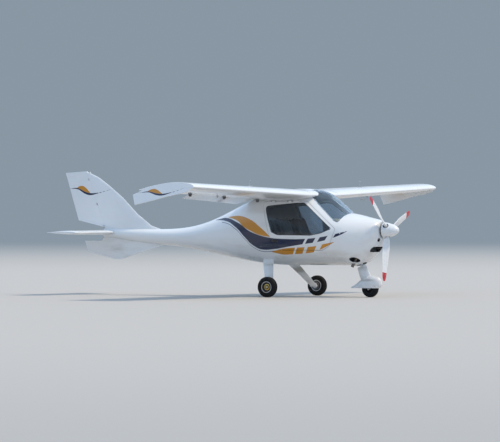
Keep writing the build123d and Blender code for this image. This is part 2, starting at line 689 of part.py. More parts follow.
def nose_spat(leg):
    """The fairing over the nose wheel: a shell, open below, that turns with the leg."""
    skin = Solid.make_loft([spat_oval(row, 0) for row in SPAT_SECTIONS], ruled=False)
    inside = Solid.make_loft([spat_oval(row, 6) for row in SPAT_SECTIONS[:-1]], ruled=False)
    inside = inside & block(330, 760, -200, 200, 0, 500)
    below = block(200, 1000, -200, 200, 0, SPAT_LOWER_EDGE)
    return skin - inside - below - leg


# Propeller

BLADE_ANGLES = (-50.5, 69.5, 189.5)
BLADE_STATION = 196
HUB_RADIUS = 62
SPINNER_RADIUS = 128
SPINNER_BASE = 262

# radius, chord, thickness, pitch angle of the blade's sections
BLADE_SECTIONS = [
    (118, 66, 44, 50),
    (190, 110, 26, 38),
    (330, 140, 18, 25),
    (520, 132, 12, 16),
    (700, 104, 9, 12),
    (790, 80, 6, 10),
    (PROPELLER_RADIUS, 44, 4, 10),
]


def blade_outline(radius, chord, thickness, pitch):
    """A blade section across the radius: flat-bellied, its leading edge turned forward by the pitch."""
    t = radians(pitch)

    def p(along, up):
        side, ahead = along * cos(t) - up * sin(t), along * sin(t) + up * cos(t)
        return Vector(ahead, -side, radius)

    lead, rear, top, belly = 0.42 * chord, -0.58 * chord, 0.62 * thickness, -0.38 * thickness
    return Wire([
        conic(p(lead, 0), p(lead, top), p(0.1 * chord, top), 0.42),
        conic(p(0.1 * chord, top), p(rear * 0.6, top), p(rear, 0), 0.36),
        conic(p(rear, 0), p(rear * 0.6, belly), p(0.1 * chord, belly), 0.36),
        conic(p(0.1 * chord, belly), p(lead, belly), p(lead, 0), 0.42),
    ])


def blade(angle):
    """One blade, turned from upright towards port."""
    vane = Solid.make_loft([blade_outline(*row) for row in BLADE_SECTIONS], ruled=False)
    shank = rod((0, 0, HUB_RADIUS - 12), (0, 0, 150), 24)
    vane = vane + shank
    return Pos(at(BLADE_STATION), 0, GROUND_TO_HUB) * Rot(-angle, 0, 0) * vane


def propeller_hub(blades):
    """The hub that clamps the blades, the backplate of the spinner and the shaft to the gearbox."""
    z = GROUND_TO_HUB
    hub = rod((at(148), 0, z), (at(SPINNER_BASE), 0, z), HUB_RADIUS)
    hub = hub + rod((at(SPINNER_BASE), 0, z), (at(SPINNER_BASE + 7), 0, z), SPINNER_RADIUS)
    hub = hub + rod((at(SPINNER_BASE), 0, z), (at(312), 0, z), 30)
    for shape in blades:
        hub = hub - shape
    return hub


def spinner():
    """The pointed cap over the hub, with a round hole for each blade."""
    def cap(radius, nose, base):
        outline = Wire([
            conic((at(nose), 0, 0), (at(nose), 0, radius * 0.62), (at(nose + 0.52 * (base - nose)), 0, radius * 0.80), 0.40),
            conic((at(nose + 0.52 * (base - nose)), 0, radius * 0.80),
                  (at(nose + 0.80 * (base - nose)), 0, radius), (at(base), 0, radius), 0.42),
            Line((at(base), 0, radius), (at(base), 0, 0)),
            Line((at(base), 0, 0), (at(nose), 0, 0)),
        ])
        return revolve(make_face(outline), Axis.X, 360)

    shell = cap(SPINNER_RADIUS, 0, SPINNER_BASE) - cap(SPINNER_RADIUS - 4, 8, SPINNER_BASE + 1)
    shell = Pos(0, 0, GROUND_TO_HUB) * shell
    for angle in BLADE_ANGLES:
        hole = Pos(at(BLADE_STATION), 0, GROUND_TO_HUB) * Rot(-angle, 0, 0) * rod((0, 0, 66), (0, 0, 200), 46)
        shell = shell - hole
    return shell


# Cabin fittings, seen through the glass

def fitted(shape, cavity):
    """A fitting trimmed to the inside of the cabin."""
    return shape & cavity


PANEL_OUTLINE = [(850, 1150), (850, 1200), (1120, 1262), (1150, 1240), (1118, 955), (1040, 955), (1010, 1120)]
SEAT_PAN_OUTLINE = [(1300, 690), (1290, 745), (1760, 690), (2030, 1250), (2075, 1240), (1800, 640)]
FLOOR_HEIGHT = 612


def seat_shell(cavity):
    """A seat's moulded bucket, side view run across its width."""
    return fitted(side_prism(SEAT_PAN_OUTLINE, 10, 95, 505) + block(1400, 1750, 130, 470, FLOOR_HEIGHT + 12, 680), cavity)


def seat_cushion():
    """The pad on the pan."""
    outline = [(1310, 752), (1320, 830), (1692, 796), (1676, 712)]
    return side_prism(outline, 12, 110, 465)


def seat_back():
    """The pad on the backrest."""
    outline = [(1752, 722), (1700, 760), (1950, 1290), (2022, 1262)]
    return side_prism(outline, 12, 110, 465)


def control_sticks():
    """The two sticks, each on a foot on the floor."""
    stick = rod((at(1180), 285, FLOOR_HEIGHT + 12), (at(1225), 285, 800), 9)
    stick = stick + rod((at(1225), 285, 800), (at(1240), 285, 905), 16)
    stick = stick + rod((at(1180), 285, FLOOR_HEIGHT + 12), (at(1180), 285, FLOOR_HEIGHT + 30), 30)
    return Compound([stick, mirrored(stick)])


def rudder_pedals():
    """Two pairs of pedals on their cross tubes."""
    pedals = []
    for y in (190, 330):
        lever = rod((at(960), y, FLOOR_HEIGHT + 12), (at(935), y, 740), 8)
        pedal = lever + rod((at(935), y - 45, 740), (at(935), y + 45, 740), 10)
        pedals += [pedal, mirrored(pedal)]
    return Compound(pedals)


# Small fixed pieces outside

CAP_Y = 1900
CAP_STATION = 1690
EYE_Y = 2580
EYE_STATION = 1900
EYE_BORE = 8


def wing_skin_height(y, station, upper):
    """Height of the wing's upper or lower skin at a place, from its control points."""
    front, chord, _ = wing_chord(y)
    share = (station - front) / chord
    if upper:
        up = CREST[1] * chord
    else:
        up = LOWEST[1] * chord if share < LOWER_CORNER[0] else \
            (LOWER_CORNER[1] + (LOWER_HINGE[1] - LOWER_CORNER[1]) * (share - LOWER_CORNER[0]) / (0.4)) * chord
    return wing_point(y, station - front, up).Z


def fuel_caps(wing_panel):
    """The tank cap on each wing with its bent vent."""
    top = wing_skin_height(CAP_Y, CAP_STATION, True)
    cap = rod((at(CAP_STATION), CAP_Y, top - 14), (at(CAP_STATION), CAP_Y, top + 12), 42)
    vent = rod((at(CAP_STATION), CAP_Y, top), (at(CAP_STATION), CAP_Y, top + 92), 4)
    vent = vent + rod((at(CAP_STATION) - 3, CAP_Y, top + 91), (at(CAP_STATION) + 20, CAP_Y, top + 91), 4)
    port = (cap + vent) - wing_panel
    return Compound([port, mirrored(port)])


def tie_down_eyes(wing_panel):
    """A ring under each wing for the tie-down rope."""
    under = wing_skin_height(EYE_Y, EYE_STATION, False)
    lug = rod((at(EYE_STATION) - 5, EYE_Y, under - 22), (at(EYE_STATION) + 5, EYE_Y, under - 22), 17)
    lug = lug + Pos(at(EYE_STATION), EYE_Y, under + 4) * Box(10, 20, 30)
    lug = lug - rod((at(EYE_STATION) - 20, EYE_Y, under - 22), (at(EYE_STATION) + 20, EYE_Y, under - 22), EYE_BORE)
    port = lug - wing_panel
    return Compound([port, mirrored(port)])


def pitot_mast(wing_panel):
    """The pressure head under the port wing."""
    y, station = 1750, 1600
    under = wing_skin_height(y, station, False)
    mast = rod((at(station), y, under + 30), (at(station) + 10, y, under - 45), 8)
    head = rod((at(station) + 2, y, under - 45), (at(station) + 122, y, under - 45), 5)
    return (mast + head) - wing_panel


EXHAUST_ENDS = ((at(676), -165, 640), (at(740), -205, 486))


def exhaust():
    """The tail pipe below the cowling."""
    start, end = Vector(*EXHAUST_ENDS[0]), Vector(*EXHAUST_ENDS[1])
    return rod(start, end, 24) - rod(start - (end - start), end + (end - start), 20)


def engine():
    """The engine as one block with its gearbox nose."""
    case = block(440, 806, -230, 230, 840, 1160)
    return case + rod((at(440), 0, GROUND_TO_HUB), (at(318), 0, GROUND_TO_HUB), 74)


MOUTH_HEIGHT = 770


def cowl_openings():
    """All that is cut from the cowling: mouth, cooling holes, side outlets, leg hole and shaft hole."""
    mouth = Pos(at(400), 0, MOUTH_HEIGHT) * Rot(0, 90, 0) * extrude(SlotOverall(390, 86, rotation=90), 100, both=True)
    cuts = [mouth, rod((at(280), 0, GROUND_TO_HUB), (at(330), 0, GROUND_TO_HUB), 60)]
    for side in (-1, 1):
        cuts.append(rod((at(200), side * 112, 922), (at(480), side * 112, 922), 20))
        outlet = Pos(at(660), side * 300, 603) * Rot(90, 0, 0) * extrude(Ellipse(68, 42), 200, both=True)
        cuts.append(outlet)
    cuts.append(rod((at(250), 205, 642), (at(560), 205, 642), 17))
    cuts.append(rod(steer_point(300), steer_point(500), 98))
    cuts.append(rod(*EXHAUST_ENDS, 32))
    return cuts


def write(name, shape):
    """Writes one piece to its own file."""
    export_step(shape, f"parts/{name}.step")


def main():
    """Builds every piece and writes it."""
    os.makedirs("parts", exist_ok=True)
    pod = body(FUSELAGE_SECTIONS)
    cavity = body(FUSELAGE_SECTIONS, CABIN_WALL, BOOM_WALL) & block(FIREWALL_STATION, 5200, -BIG, BIG, 0, BIG)
    glass_out = body(FUSELAGE_SECTIONS, 1)
    glass_in = body(FUSELAGE_SECTIONS, 1 + GLASS)

    # wing centre section on the roof
    roof = extrude(make_face(aerofoil(WING_ROOT_Y)), amount=2 * WING_ROOT_Y, dir=(0, -1, 0))
    windscreen_cut = Pos(0, -BIG, 0) * extrude(side_face(WINDSCREEN_OUTLINE), amount=2 * BIG, dir=(0, 1, 0))
    port_door_hole, port_door = door_hole(DOOR_GAP), door_hole(0)

    lugs, foot_pin = rudder_lugs()
    whole = pod + fin()
    for lug in lugs:
        whole = whole + lug
    whole = whole + foot_pin
    shell = whole - cavity - (windscreen_cut & pod)
    shell = shell - port_door_hole - mirrored(port_door_hole)
    leg = main_leg() - cavity
    shell = shell - leg - mirrored(leg)
    tube_hole = rod((at(TAILPLANE_PIVOT_STATION), -300, TAILPLANE_HEIGHT),
                    (at(TAILPLANE_PIVOT_STATION), 300, TAILPLANE_HEIGHT), TAILPLANE_TUBE + RUNNING_CLEARANCE)
    shell = shell - tube_hole
    for station in DOOR_HINGES:
        room = hinge_rod(station - 30, station + 30, HINGE_EYE + 5)
        shell = shell - room - mirrored(room)
    write("cabin_shell", shell & block(0, SHELL_JOINT_STATION, -BIG, BIG, 0, BIG))
    write("tail_boom", shell & block(SHELL_JOINT_STATION, 7000, -BIG, BIG, 0, BIG))
    write("wing_centre", roof - pod)

    firewall = cavity & block(FIREWALL_STATION, FIREWALL_STATION + 10, -BIG, BIG, 0, BIG)
    inner_cabin = cavity & block(FIREWALL_STATION + 10, 2400, -BIG, BIG, 0, BIG)
    write("firewall", firewall)
    windscreen = (glass_out - glass_in) & windscreen_cut
    windscreen = windscreen & block(FIREWALL_STATION, 1500, -BIG, BIG, 1000, BIG)
    write("windscreen", windscreen)

    # doors
    door = (pod - cavity) & port_door
    window = window_hole()
    door_glass = (glass_out - glass_in) & window
    door = door - window
    door = door_knuckles(door)
    write("door_port", door)
    write("door_starboard", mirrored(door))
    write("door_window_port", door_glass)
    write("door_window_starboard", mirrored(door_glass))
    hinges = door_hinges(pod)
    write("door_hinges", Compound(hinges + [mirrored(hinge) for hinge in hinges]))

    # wings
    panel = wing(pod)
    write("wing_port", panel)
    write("wing_starboard", mirrored(panel))
    tip = wing_tip()
    write("wing_tips", Compound([tip, mirrored(tip)]))
    port_flap = flap()
    write("flap_port", port_flap)
    write("flap_starboard", mirrored(port_flap))
    port_aileron = pinned(wing_surface(*AILERON_SPAN), AILERON_SPAN)
    write("aileron_port", port_aileron)
    write("aileron_starboard", mirrored(port_aileron))
    write("fuel_caps", fuel_caps(panel))
    write("tie_down_eyes", tie_down_eyes(panel))
    write("pitot_mast", pitot_mast(panel))

    # tail
    write("ventral_fin", ventral_fin(pod))
    write("rudder", rudder())
    write("tailplane", tailplane())
    write("trim_tab", tab())

    # main undercarriage
    axle = main_axle()
    port_leg = leg - axle
    write("main_legs", Compound([port_leg, mirrored(port_leg)]))
    write("main_axles", Compound([axle, mirrored(axle)]))
    wheel_y = TRACK / 2
    port_tyre = tyre(MAIN_WHEEL_RADIUS, MAIN_RIM_RADIUS, MAIN_TYRE_WIDTH, MAIN_AXLE_STATION, wheel_y)
    port_rim = rim(MAIN_RIM_RADIUS, MAIN_TYRE_WIDTH, 30, AXLE_RADIUS + RUNNING_CLEARANCE, 6,
                   MAIN_AXLE_STATION, wheel_y, MAIN_WHEEL_RADIUS)
    write("main_tyre_port", port_tyre)
    write("main_tyre_starboard", mirrored(port_tyre))
    write("main_rim_port", port_rim)
    write("main_rim_starboard", mirrored(port_rim))

    # nose undercarriage
    strut = nose_leg()
    write("nose_leg", strut)
    write("nose_spat", nose_spat(strut))
    write("steering_head", steering_head())
    write("nose_tyre", tyre(NOSE_WHEEL_RADIUS, 72, NOSE_TYRE_WIDTH, NOSE_AXLE_STATION, 0))
    write("nose_rim", rim(72, NOSE_TYRE_WIDTH, 22, NOSE_AXLE_RADIUS + RUNNING_CLEARANCE, 5,
                          NOSE_AXLE_STATION, 0, NOSE_WHEEL_RADIUS))

    # nose and propeller
    cowl = body(COWL_SECTIONS)
    cowl_space = body(COWL_SECTIONS, COWL_WALL) & block(304, FIREWALL_STATION, -BIG, BIG, 0, BIG)
    cowl = cowl - cowl_space
    for cut in cowl_openings():
        cowl = cowl - cut
    seam = 1040
    write("cowl_upper", cowl & block(200, 1000, -BIG, BIG, seam, BIG))
    write("cowl_lower", cowl & block(200, 1000, -BIG, BIG, 0, seam))
    write("engine", engine())
    write("exhaust", exhaust())
    blades = [blade(angle) for angle in BLADE_ANGLES]
    write("propeller_blades", Compound(blades))
    write("propeller_hub", propeller_hub(blades))
    write("spinner", spinner())
    write("radiator", block(470, 510, -190, 190, 712, 830))

    # cabin
    floor = block(860, 2350, -BIG, BIG, FLOOR_HEIGHT, FLOOR_HEIGHT + 12) & inner_cabin
    write("cabin_floor", floor)
    write("instrument_panel", fitted(side_prism(PANEL_OUTLINE, 8, -460, 460), inner_cabin))
    seats = seat_shell(inner_cabin)
    write("seat_shells", Compound([seats, mirrored(seats)]))
    pads = [seat_cushion(), seat_back()]
    write("seat_cushions", Compound(pads + [mirrored(pad) for pad in pads]))
    write("centre_console", block(1000, 1700, -70, 70, FLOOR_HEIGHT + 12, 790) - block(900, 1060, -80, 80, 650, 900))
    write("control_sticks", fitted(control_sticks(), inner_cabin) - floor)
    write("rudder_pedals", fitted(rudder_pedals(), inner_cabin) - floor)


main()
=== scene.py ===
"""A two-seat high-wing ultralight aircraft of white moulded composite, parked in a pale studio.

Metres, +X forward, +Y to port, +Z up. A station is the distance aft from the spinner's tip, as in the part's
source. Pieces that come in pairs are made on the port side and mirrored.
"""

from math import cos, exp, pi, radians, sin

import bmesh
import bpy
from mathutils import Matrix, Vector
from mathutils.bvhtree import BVHTree


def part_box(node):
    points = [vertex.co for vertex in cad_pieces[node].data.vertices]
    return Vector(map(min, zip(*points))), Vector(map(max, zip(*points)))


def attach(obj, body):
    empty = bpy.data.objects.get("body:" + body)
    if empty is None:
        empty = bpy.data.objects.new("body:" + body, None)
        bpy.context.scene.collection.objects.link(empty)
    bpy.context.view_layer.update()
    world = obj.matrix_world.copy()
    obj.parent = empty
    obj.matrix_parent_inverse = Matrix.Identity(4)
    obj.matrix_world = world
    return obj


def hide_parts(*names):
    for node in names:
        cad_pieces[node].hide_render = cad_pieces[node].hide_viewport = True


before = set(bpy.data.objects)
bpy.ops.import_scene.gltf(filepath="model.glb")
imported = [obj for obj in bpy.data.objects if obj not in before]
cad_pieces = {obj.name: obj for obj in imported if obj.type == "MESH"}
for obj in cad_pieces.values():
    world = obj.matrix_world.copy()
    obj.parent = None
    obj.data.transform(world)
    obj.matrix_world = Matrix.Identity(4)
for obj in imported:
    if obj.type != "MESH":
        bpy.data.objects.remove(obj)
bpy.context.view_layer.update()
NOSE_X = 3.1

# The studio
# A level pale floor that fades into an even backdrop, a soft warm sun from ahead to port, blue light from the
# sky, and a camera far off to starboard, a little ahead of the wing, at a standing person's eye height.
BACKDROP, HIGH_BACKDROP = (0.25, 0.31, 0.37), (0.62, 0.82, 1.10)
BACKDROP_RISE = (0.06, 0.30)
SKY_COLOUR, SKY_STRENGTH = (0.56, 0.74, 1.0), 0.88
SUN_COLOUR, SUN_STRENGTH, SUN_SPREAD = (1.0, 0.86, 0.68), 2.4, radians(9)
SUN_FROM = Vector((0.62, 0.22, 1.0))
FLOOR_COLOUR, FLOOR_RADIUS, FLOOR_FADE = (0.50, 0.475, 0.44), 150, (22.0, 110.0)
CAMERA_DISTANCE, CAMERA_SWING, EYE_HEIGHT = 80.0, radians(28.769), 1.55
FOCAL_PIXELS = 4899.5
PHOTO_WIDTH, PHOTO_HEIGHT = 500, 442
LEVEL_POINT = (229.4, 200.82)

scene = bpy.context.scene
scene.view_settings.view_transform = "Standard"


def place(name, data):
    """A new object in the scene."""
    piece = bpy.data.objects.new(name, data)
    scene.collection.objects.link(piece)
    return piece


class Net:
    """A node tree with short ways to add nodes to it."""

    def __init__(self, tree):
        self.tree, self.nodes = tree, tree.nodes

    def feed(self, socket, value):
        """Puts a number, a colour or another node's output into a socket."""
        if isinstance(value, bpy.types.NodeSocket):
            self.tree.links.new(value, socket)
        elif value is not None:
            socket.default_value = (*value, 1) if socket.type == "RGBA" else value

    def fill(self, sockets, **values):
        """Feeds sockets by name, with _ for each space."""
        for name, value in values.items():
            self.feed(sockets[name.replace("_", " ")], value)

    def shade(self, **values):
        """Feeds the material's shader."""
        self.fill(self.nodes["Principled BSDF"].inputs, **values)

    def add(self, kind, inputs=None, out=0, **settings):
        """Adds a node, sets it up, feeds its inputs and gives one of its outputs."""
        node = self.nodes.new("ShaderNode" + kind)
        for name, value in settings.items():
            setattr(node, name, value)
        for socket, value in (inputs or {}).items():
            self.feed(node.inputs[socket], value)
        return node.outputs[out] if node.outputs else None

    def math(self, operation, a, b=None, c=None, clamp=False):
        return self.add("Math", {0: a, 1: b, 2: c}, operation=operation, use_clamp=clamp)

    def times(self, a, b):
        return self.math("MULTIPLY", a, b)

    def minus(self, a, b):
        return self.math("SUBTRACT", a, b)

    def mix(self, share, first, second, blend="MIX"):
        """First where share is 0 and second where it is 1, as colours."""
        return self.add("Mix", {0: share, 6: first, 7: second}, 2, data_type="RGBA", blend_type=blend)

    def ramp(self, value, low, high, to_low=0.0, to_high=1.0, smooth=True):
        """Value taken from low..high to to_low..to_high."""
        return self.add("MapRange", {"Value": value, "From Min": low, "From Max": high, "To Min": to_low,
                                     "To Max": to_high},
                        interpolation_type="SMOOTHSTEP" if smooth else "LINEAR")

    def where(self, stretch=None):
        """The place on the piece, each axis stretched."""
        spot = self.add("TexCoord", out="Object")
        return spot if stretch is None else self.add("Mapping", {"Vector": spot, "Scale": stretch})

    def split(self, vector):
        """A vector's three numbers."""
        return tuple(self.add("SeparateXYZ", {0: vector}).node.outputs)

    def axes(self):
        """X, Y and Z of the place on the piece."""
        return self.split(self.where())

    def noise(self, scale, detail=2.0, stretch=None):
        """Noise at a place on the piece, finer with scale."""
        return self.add("TexNoise", {"Scale": scale, "Detail": detail, "Vector": self.where(stretch)}, "Fac")

    def patches(self, scale, detail, low, high, least=0.0, most=1.0):
        """Noise taken from low..high to least..most."""
        return self.ramp(self.noise(scale, detail), low, high, least, most)

    def bump(self, height, distance, strength=1.0, normal=None):
        """The normal of a surface with this height on it."""
        return self.add("Bump", {"Strength": strength, "Distance": distance, "Height": height,
                                 "Normal": normal})

    def curve(self, value, table, low, high, bottom, top):
        """A smooth curve through (value, result) rows, both taken from the ranges given."""
        result = self.add("FloatCurve", {"Value": self.ramp(value, low, high, smooth=False)})
        mapping = result.node.mapping
        line = mapping.curves[0]
        rows = sorted(((v - low) / (high - low), (r - bottom) / (top - bottom)) for v, r in table)
        while len(line.points) < len(rows):
            line.points.new(0.5, 0.5)
        for point, row in zip(line.points, rows):
            point.location = row
        mapping.update()
        return self.ramp(result, 0.0, 1.0, bottom, top, smooth=False)

    def group(self, effect, **inputs):
        """The outputs of a shared effect."""
        node = self.nodes.new("ShaderNodeGroup")
        node.node_tree = effect
        self.fill(node.inputs, **inputs)
        return node.outputs


def material(name, **values):
    """A material and its net, with some of its shader's inputs."""
    made = bpy.data.materials.new(name)
    made.use_nodes = True
    net = Net(made.node_tree)
    net.shade(**values)
    return made, net


lens = bpy.data.cameras.new("photo_camera")
lens.sensor_width = 36
lens.lens = FOCAL_PIXELS * lens.sensor_width / PHOTO_WIDTH
lens.shift_x = (PHOTO_WIDTH / 2 - LEVEL_POINT[0]) / PHOTO_WIDTH
lens.shift_y = (LEVEL_POINT[1] - PHOTO_HEIGHT / 2) / PHOTO_WIDTH
lens.clip_end = 400
camera = place("photo_camera", lens)
camera.location = (CAMERA_DISTANCE * sin(CAMERA_SWING), -CAMERA_DISTANCE * cos(CAMERA_SWING), EYE_HEIGHT)
camera.rotation_euler = (radians(90), 0, CAMERA_SWING)
scene.camera = camera

world = bpy.data.worlds.new("studio")
scene.world = world
world.use_nodes = True
net = Net(world.node_tree)
net.nodes.clear()
rise = net.ramp(net.split(net.add("TexCoord", out="Generated"))[2], *BACKDROP_RISE)
ray = net.add("LightPath").node.outputs
seen = net.math("MAXIMUM", ray["Is Camera Ray"],
                net.math("MAXIMUM", ray["Is Glossy Ray"], ray["Is Transmission Ray"]))
light = net.add("Background", {"Color": SKY_COLOUR, "Strength": SKY_STRENGTH})
backdrop = net.add("Background", {"Color": net.mix(rise, BACKDROP, HIGH_BACKDROP)})
net.add("OutputWorld", {"Surface": net.add("MixShader", {0: seen, 1: light, 2: backdrop})})

sun = bpy.data.lights.new("key", "SUN")
sun.energy, sun.angle, sun.color = SUN_STRENGTH, SUN_SPREAD, SUN_COLOUR
place("key", sun).rotation_euler = SUN_FROM.to_track_quat("Z", "Y").to_euler()

bpy.ops.mesh.primitive_circle_add(vertices=96, radius=FLOOR_RADIUS, fill_type="NGON", location=(0, 0, 0))
floor = bpy.context.object
floor.name = "floor"
concrete, net = material("pale_floor", Base_Color=FLOOR_COLOUR, Roughness=0.9)
floor.data.materials.append(concrete)
from_middle = net.add("VectorMath", {0: net.where()}, "Value", operation="LENGTH")
net.fill(net.nodes["Material Output"].inputs, Surface=net.add("MixShader", {
    0: net.ramp(from_middle, *FLOOR_FADE), 1: net.nodes["Principled BSDF"].outputs[0],
    2: net.add("Emission", {"Color": BACKDROP})}))

# Shared surface effects
# Each is a node group that gives colours, masks, roughness or normals. The shader stays in every material.


def effect(name, inputs, outputs):
    """A new shared effect with sockets named in {name: kind}. Gives its net, its inputs and its outputs."""
    tree = bpy.data.node_groups.new(name, "ShaderNodeTree")
    for way, sockets in (("INPUT", inputs), ("OUTPUT", outputs)):
        for socket, kind in sockets.items():
            tree.interface.new_socket(socket, in_out=way, socket_type="NodeSocket" + kind)
    net = Net(tree)
    return net, net.nodes.new("NodeGroupInput").outputs, net.nodes.new("NodeGroupOutput").inputs


# Sprayed gelcoat: slow unevenness of the moulding, a fine orange peel, and dust low down and in streaks
net, entry, result = effect("gelcoat", {"Paint": "Color", "Dust": "Float"},
                            {"Color": "Color", "Roughness": "Float", "Normal": "Vector"})
low_down = net.ramp(net.axes()[2], 1.1, 0.35)
streaks = net.ramp(net.noise(5.0, 4.0, (0.35, 1.0, 1.6)), 0.48, 0.75)
dirt = net.times(net.math("MULTIPLY_ADD", low_down, 0.75, 0.25), streaks)
dirt = net.math("MULTIPLY", dirt, entry["Dust"], clamp=True)
uneven = net.mix(net.patches(1.3, 2.0, 0.3, 0.7, 0.0, 0.25), entry["Paint"], (0.86, 0.90, 0.95), "MULTIPLY")
peel = net.bump(net.noise(420.0, 1.0), 0.0003, 0.25)
net.fill(result, Color=net.mix(dirt, uneven, (0.36, 0.33, 0.27)),
         Roughness=net.math("MULTIPLY_ADD", dirt, 0.4, net.patches(9.0, 3.0, 0.3, 0.7, 0.16, 0.24)),
         Normal=net.bump(net.noise(2.2, 1.0), 0.004, 0.35, peel))
gelcoat = net.tree

# The wave along the pod: a navy band with an orange crest above it and an orange lens below its front end,
# both broken by slanting white gaps, and a thin line under the band. Edges are station and height in metres.
NAVY_UPPER = [(3.24, 1.236), (3.10, 1.262), (2.987, 1.274), (2.711, 1.208), (2.374, 1.040), (2.018, 0.955),
              (1.721, 0.936), (1.380, 0.940), (1.127, 0.966), (0.94, 1.004), (0.70, 1.066)]
NAVY_LOWER = [(3.24, 1.232), (2.961, 1.222), (2.745, 1.135), (2.527, 0.958), (2.364, 0.824), (2.201, 0.764),
              (1.939, 0.776), (1.687, 0.814), (1.383, 0.860), (1.177, 0.888), (0.91, 0.959), (0.77, 1.017),
              (0.70, 1.062)]
CREST_UPPER = [(2.93, 1.283), (2.80, 1.303), (2.661, 1.306), (2.449, 1.258), (2.220, 1.130), (2.02, 0.975)]
CREST_LOWER = [(2.93, 1.281), (2.717, 1.235), (2.536, 1.120), (2.374, 1.052), (2.221, 0.998), (2.02, 0.970)]
LENS_UPPER = [(2.03, 0.728), (1.93, 0.752), (1.801, 0.779), (1.572, 0.798), (1.401, 0.806), (1.204, 0.826),
              (1.099, 0.850), (0.90, 0.890)]
LENS_LOWER = [(2.03, 0.724), (1.93, 0.702), (1.838, 0.684), (1.659, 0.690), (1.415, 0.706), (1.269, 0.725),
              (1.149, 0.765), (0.90, 0.886)]
GAP_SLANT = 0.7
NAVY_GAPS = [(1.993, 2.036), (1.802, 1.868), (1.588, 1.690)]
LENS_GAPS = [(2.102, 2.137), (1.916, 1.970), (1.692, 1.776)]
LINE_STATIONS, LINE_BELOW, LINE_WIDTH = (1.85, 3.05), 0.026, 0.010
STATIONS, HEIGHTS = (0.66, 3.30), (0.60, 1.40)
PAINT_EDGE = 0.003


def between(net, value, low, high, soft=PAINT_EDGE):
    """1 where value is between low and high, with a soft edge."""
    return net.times(net.ramp(net.minus(value, low), -soft, soft),
                     net.ramp(net.minus(high, value), -soft, soft))


def broken(net, mask, along, gaps, soft=PAINT_EDGE):
    """A mask less the gaps, given by their ends along it."""
    for start, end in gaps:
        mask = net.times(mask, net.minus(1.0, between(net, along, start, end, soft)))
    return mask


net, _, result = effect("pod_wave", {}, {"Navy": "Float", "Orange": "Float", "Line": "Float"})
x, _, z = net.axes()
station = net.minus(NOSE_X, x)
slanted = net.math("MULTIPLY_ADD", z, GAP_SLANT, station)


def band(upper, lower, gaps=()):
    """Mask between two edges over the stations both cover, less the slanting gaps, and the lower edge."""
    low, high = (net.curve(station, table, *STATIONS, *HEIGHTS) for table in (lower, upper))
    mask = net.times(between(net, z, low, high), between(net, station, upper[-1][0], upper[0][0]))
    return broken(net, mask, slanted, gaps), low


navy, navy_low = band(NAVY_UPPER, NAVY_LOWER, NAVY_GAPS)
line_top = net.minus(navy_low, LINE_BELOW)
net.fill(result, Navy=navy, Orange=net.math("MAXIMUM", band(CREST_UPPER, CREST_LOWER)[0],
                                            band(LENS_UPPER, LENS_LOWER, LENS_GAPS)[0]),
         Line=net.times(between(net, z, net.minus(line_top, LINE_WIDTH), line_top),
                        between(net, station, *LINE_STATIONS)))
pod_wave = net.tree

# The same wave in small, on the fin and the wing tips. Along runs forward from its tail, both from 0 to 1.
SMALL_NAVY_UPPER = [(0.0, 0.57), (0.14, 0.60), (0.22, 0.52), (0.36, 0.33), (0.50, 0.24), (0.66, 0.26),
                    (0.84, 0.36), (1.0, 0.50)]
SMALL_NAVY_LOWER = [(0.0, 0.54), (0.14, 0.52), (0.25, 0.36), (0.36, 0.18), (0.48, 0.10), (0.66, 0.20),
                    (0.84, 0.33), (1.0, 0.49)]
SMALL_CREST = [(0.0, 0.5), (0.13, 0.60), (0.20, 0.72), (0.28, 0.74), (0.36, 0.62), (0.46, 0.34), (0.52, 0.2),
               (1.0, 0.0)]
SMALL_CREST_ENDS = (0.13, 0.48)
SMALL_GAPS = [(0.70, 0.73), (0.78, 0.82), (0.87, 0.91)]
END_EDGE, LONG_EDGE = 0.004, 0.012
net, entry, result = effect("small_wave", {"Along": "Float", "Up": "Float"},
                            {"Navy": "Float", "Orange": "Float"})
along, up = entry["Along"], entry["Up"]
low, high, crown = (net.curve(along, table, 0, 1, 0, 1)
                    for table in (SMALL_NAVY_LOWER, SMALL_NAVY_UPPER, SMALL_CREST))
navy = net.times(between(net, up, low, high, LONG_EDGE), between(net, along, 0.0, 1.0, END_EDGE))
net.fill(result, Navy=broken(net, navy, along, SMALL_GAPS, END_EDGE),
         Orange=net.times(between(net, up, high, crown, LONG_EDGE),
                          between(net, along, *SMALL_CREST_ENDS, END_EDGE)))
small_wave = net.tree

# Paints and bare surfaces used on more than one piece
WHITE, NAVY, ORANGE = (0.82, 0.83, 0.83), (0.011, 0.018, 0.058), (0.62, 0.265, 0.022)
LINE_GREY = (0.12, 0.15, 0.24)
# Near-black painted shade on the foot of the nose leg's fork under its fairing, and the heights where it
# fades in.
FORK_FOOT_SHADE_COLOUR = (0.05, 0.05, 0.055)
FORK_SHADE_EDGE = (0.200, 0.190)


def painted(name, dust, wave=None, shaded_foot=None):
    """White gelcoat. Wave takes the net and gives the masks of navy, orange and the thin line, which may be
    None. The last argument takes the net and gives the mask of a near-black painted shade over the gelcoat."""
    made, net = material(name, Coat_Weight=0.35, Coat_Roughness=0.05)
    paint = WHITE
    if wave:
        navy, orange, line = wave(net)
        if line is not None:
            paint = net.mix(line, paint, LINE_GREY)
        paint = net.mix(navy, net.mix(orange, paint, ORANGE), NAVY)
    coat = net.group(gelcoat, Paint=paint, Dust=dust)
    # Where the mask is, a near-black painted shade covers the gelcoat.
    colour = net.mix(shaded_foot(net), coat["Color"], FORK_FOOT_SHADE_COLOUR) if shaded_foot else coat["Color"]
    net.shade(Base_Color=colour, Roughness=coat["Roughness"], Normal=coat["Normal"])
    return made


def outside(net):
    """1 on faces that look away from the aircraft's middle plane, 0 on those that look towards it."""
    sideways = net.split(net.add("TexCoord", out="Normal"))[1]
    return net.ramp(net.times(net.math("SIGN", net.axes()[1]), sideways), -0.30, -0.20)


def on_pod(net):
    """The wave along the pod."""
    wave, out = net.group(pod_wave), outside(net)
    return tuple(net.times(out, wave[name]) for name in ("Navy", "Orange", "Line"))


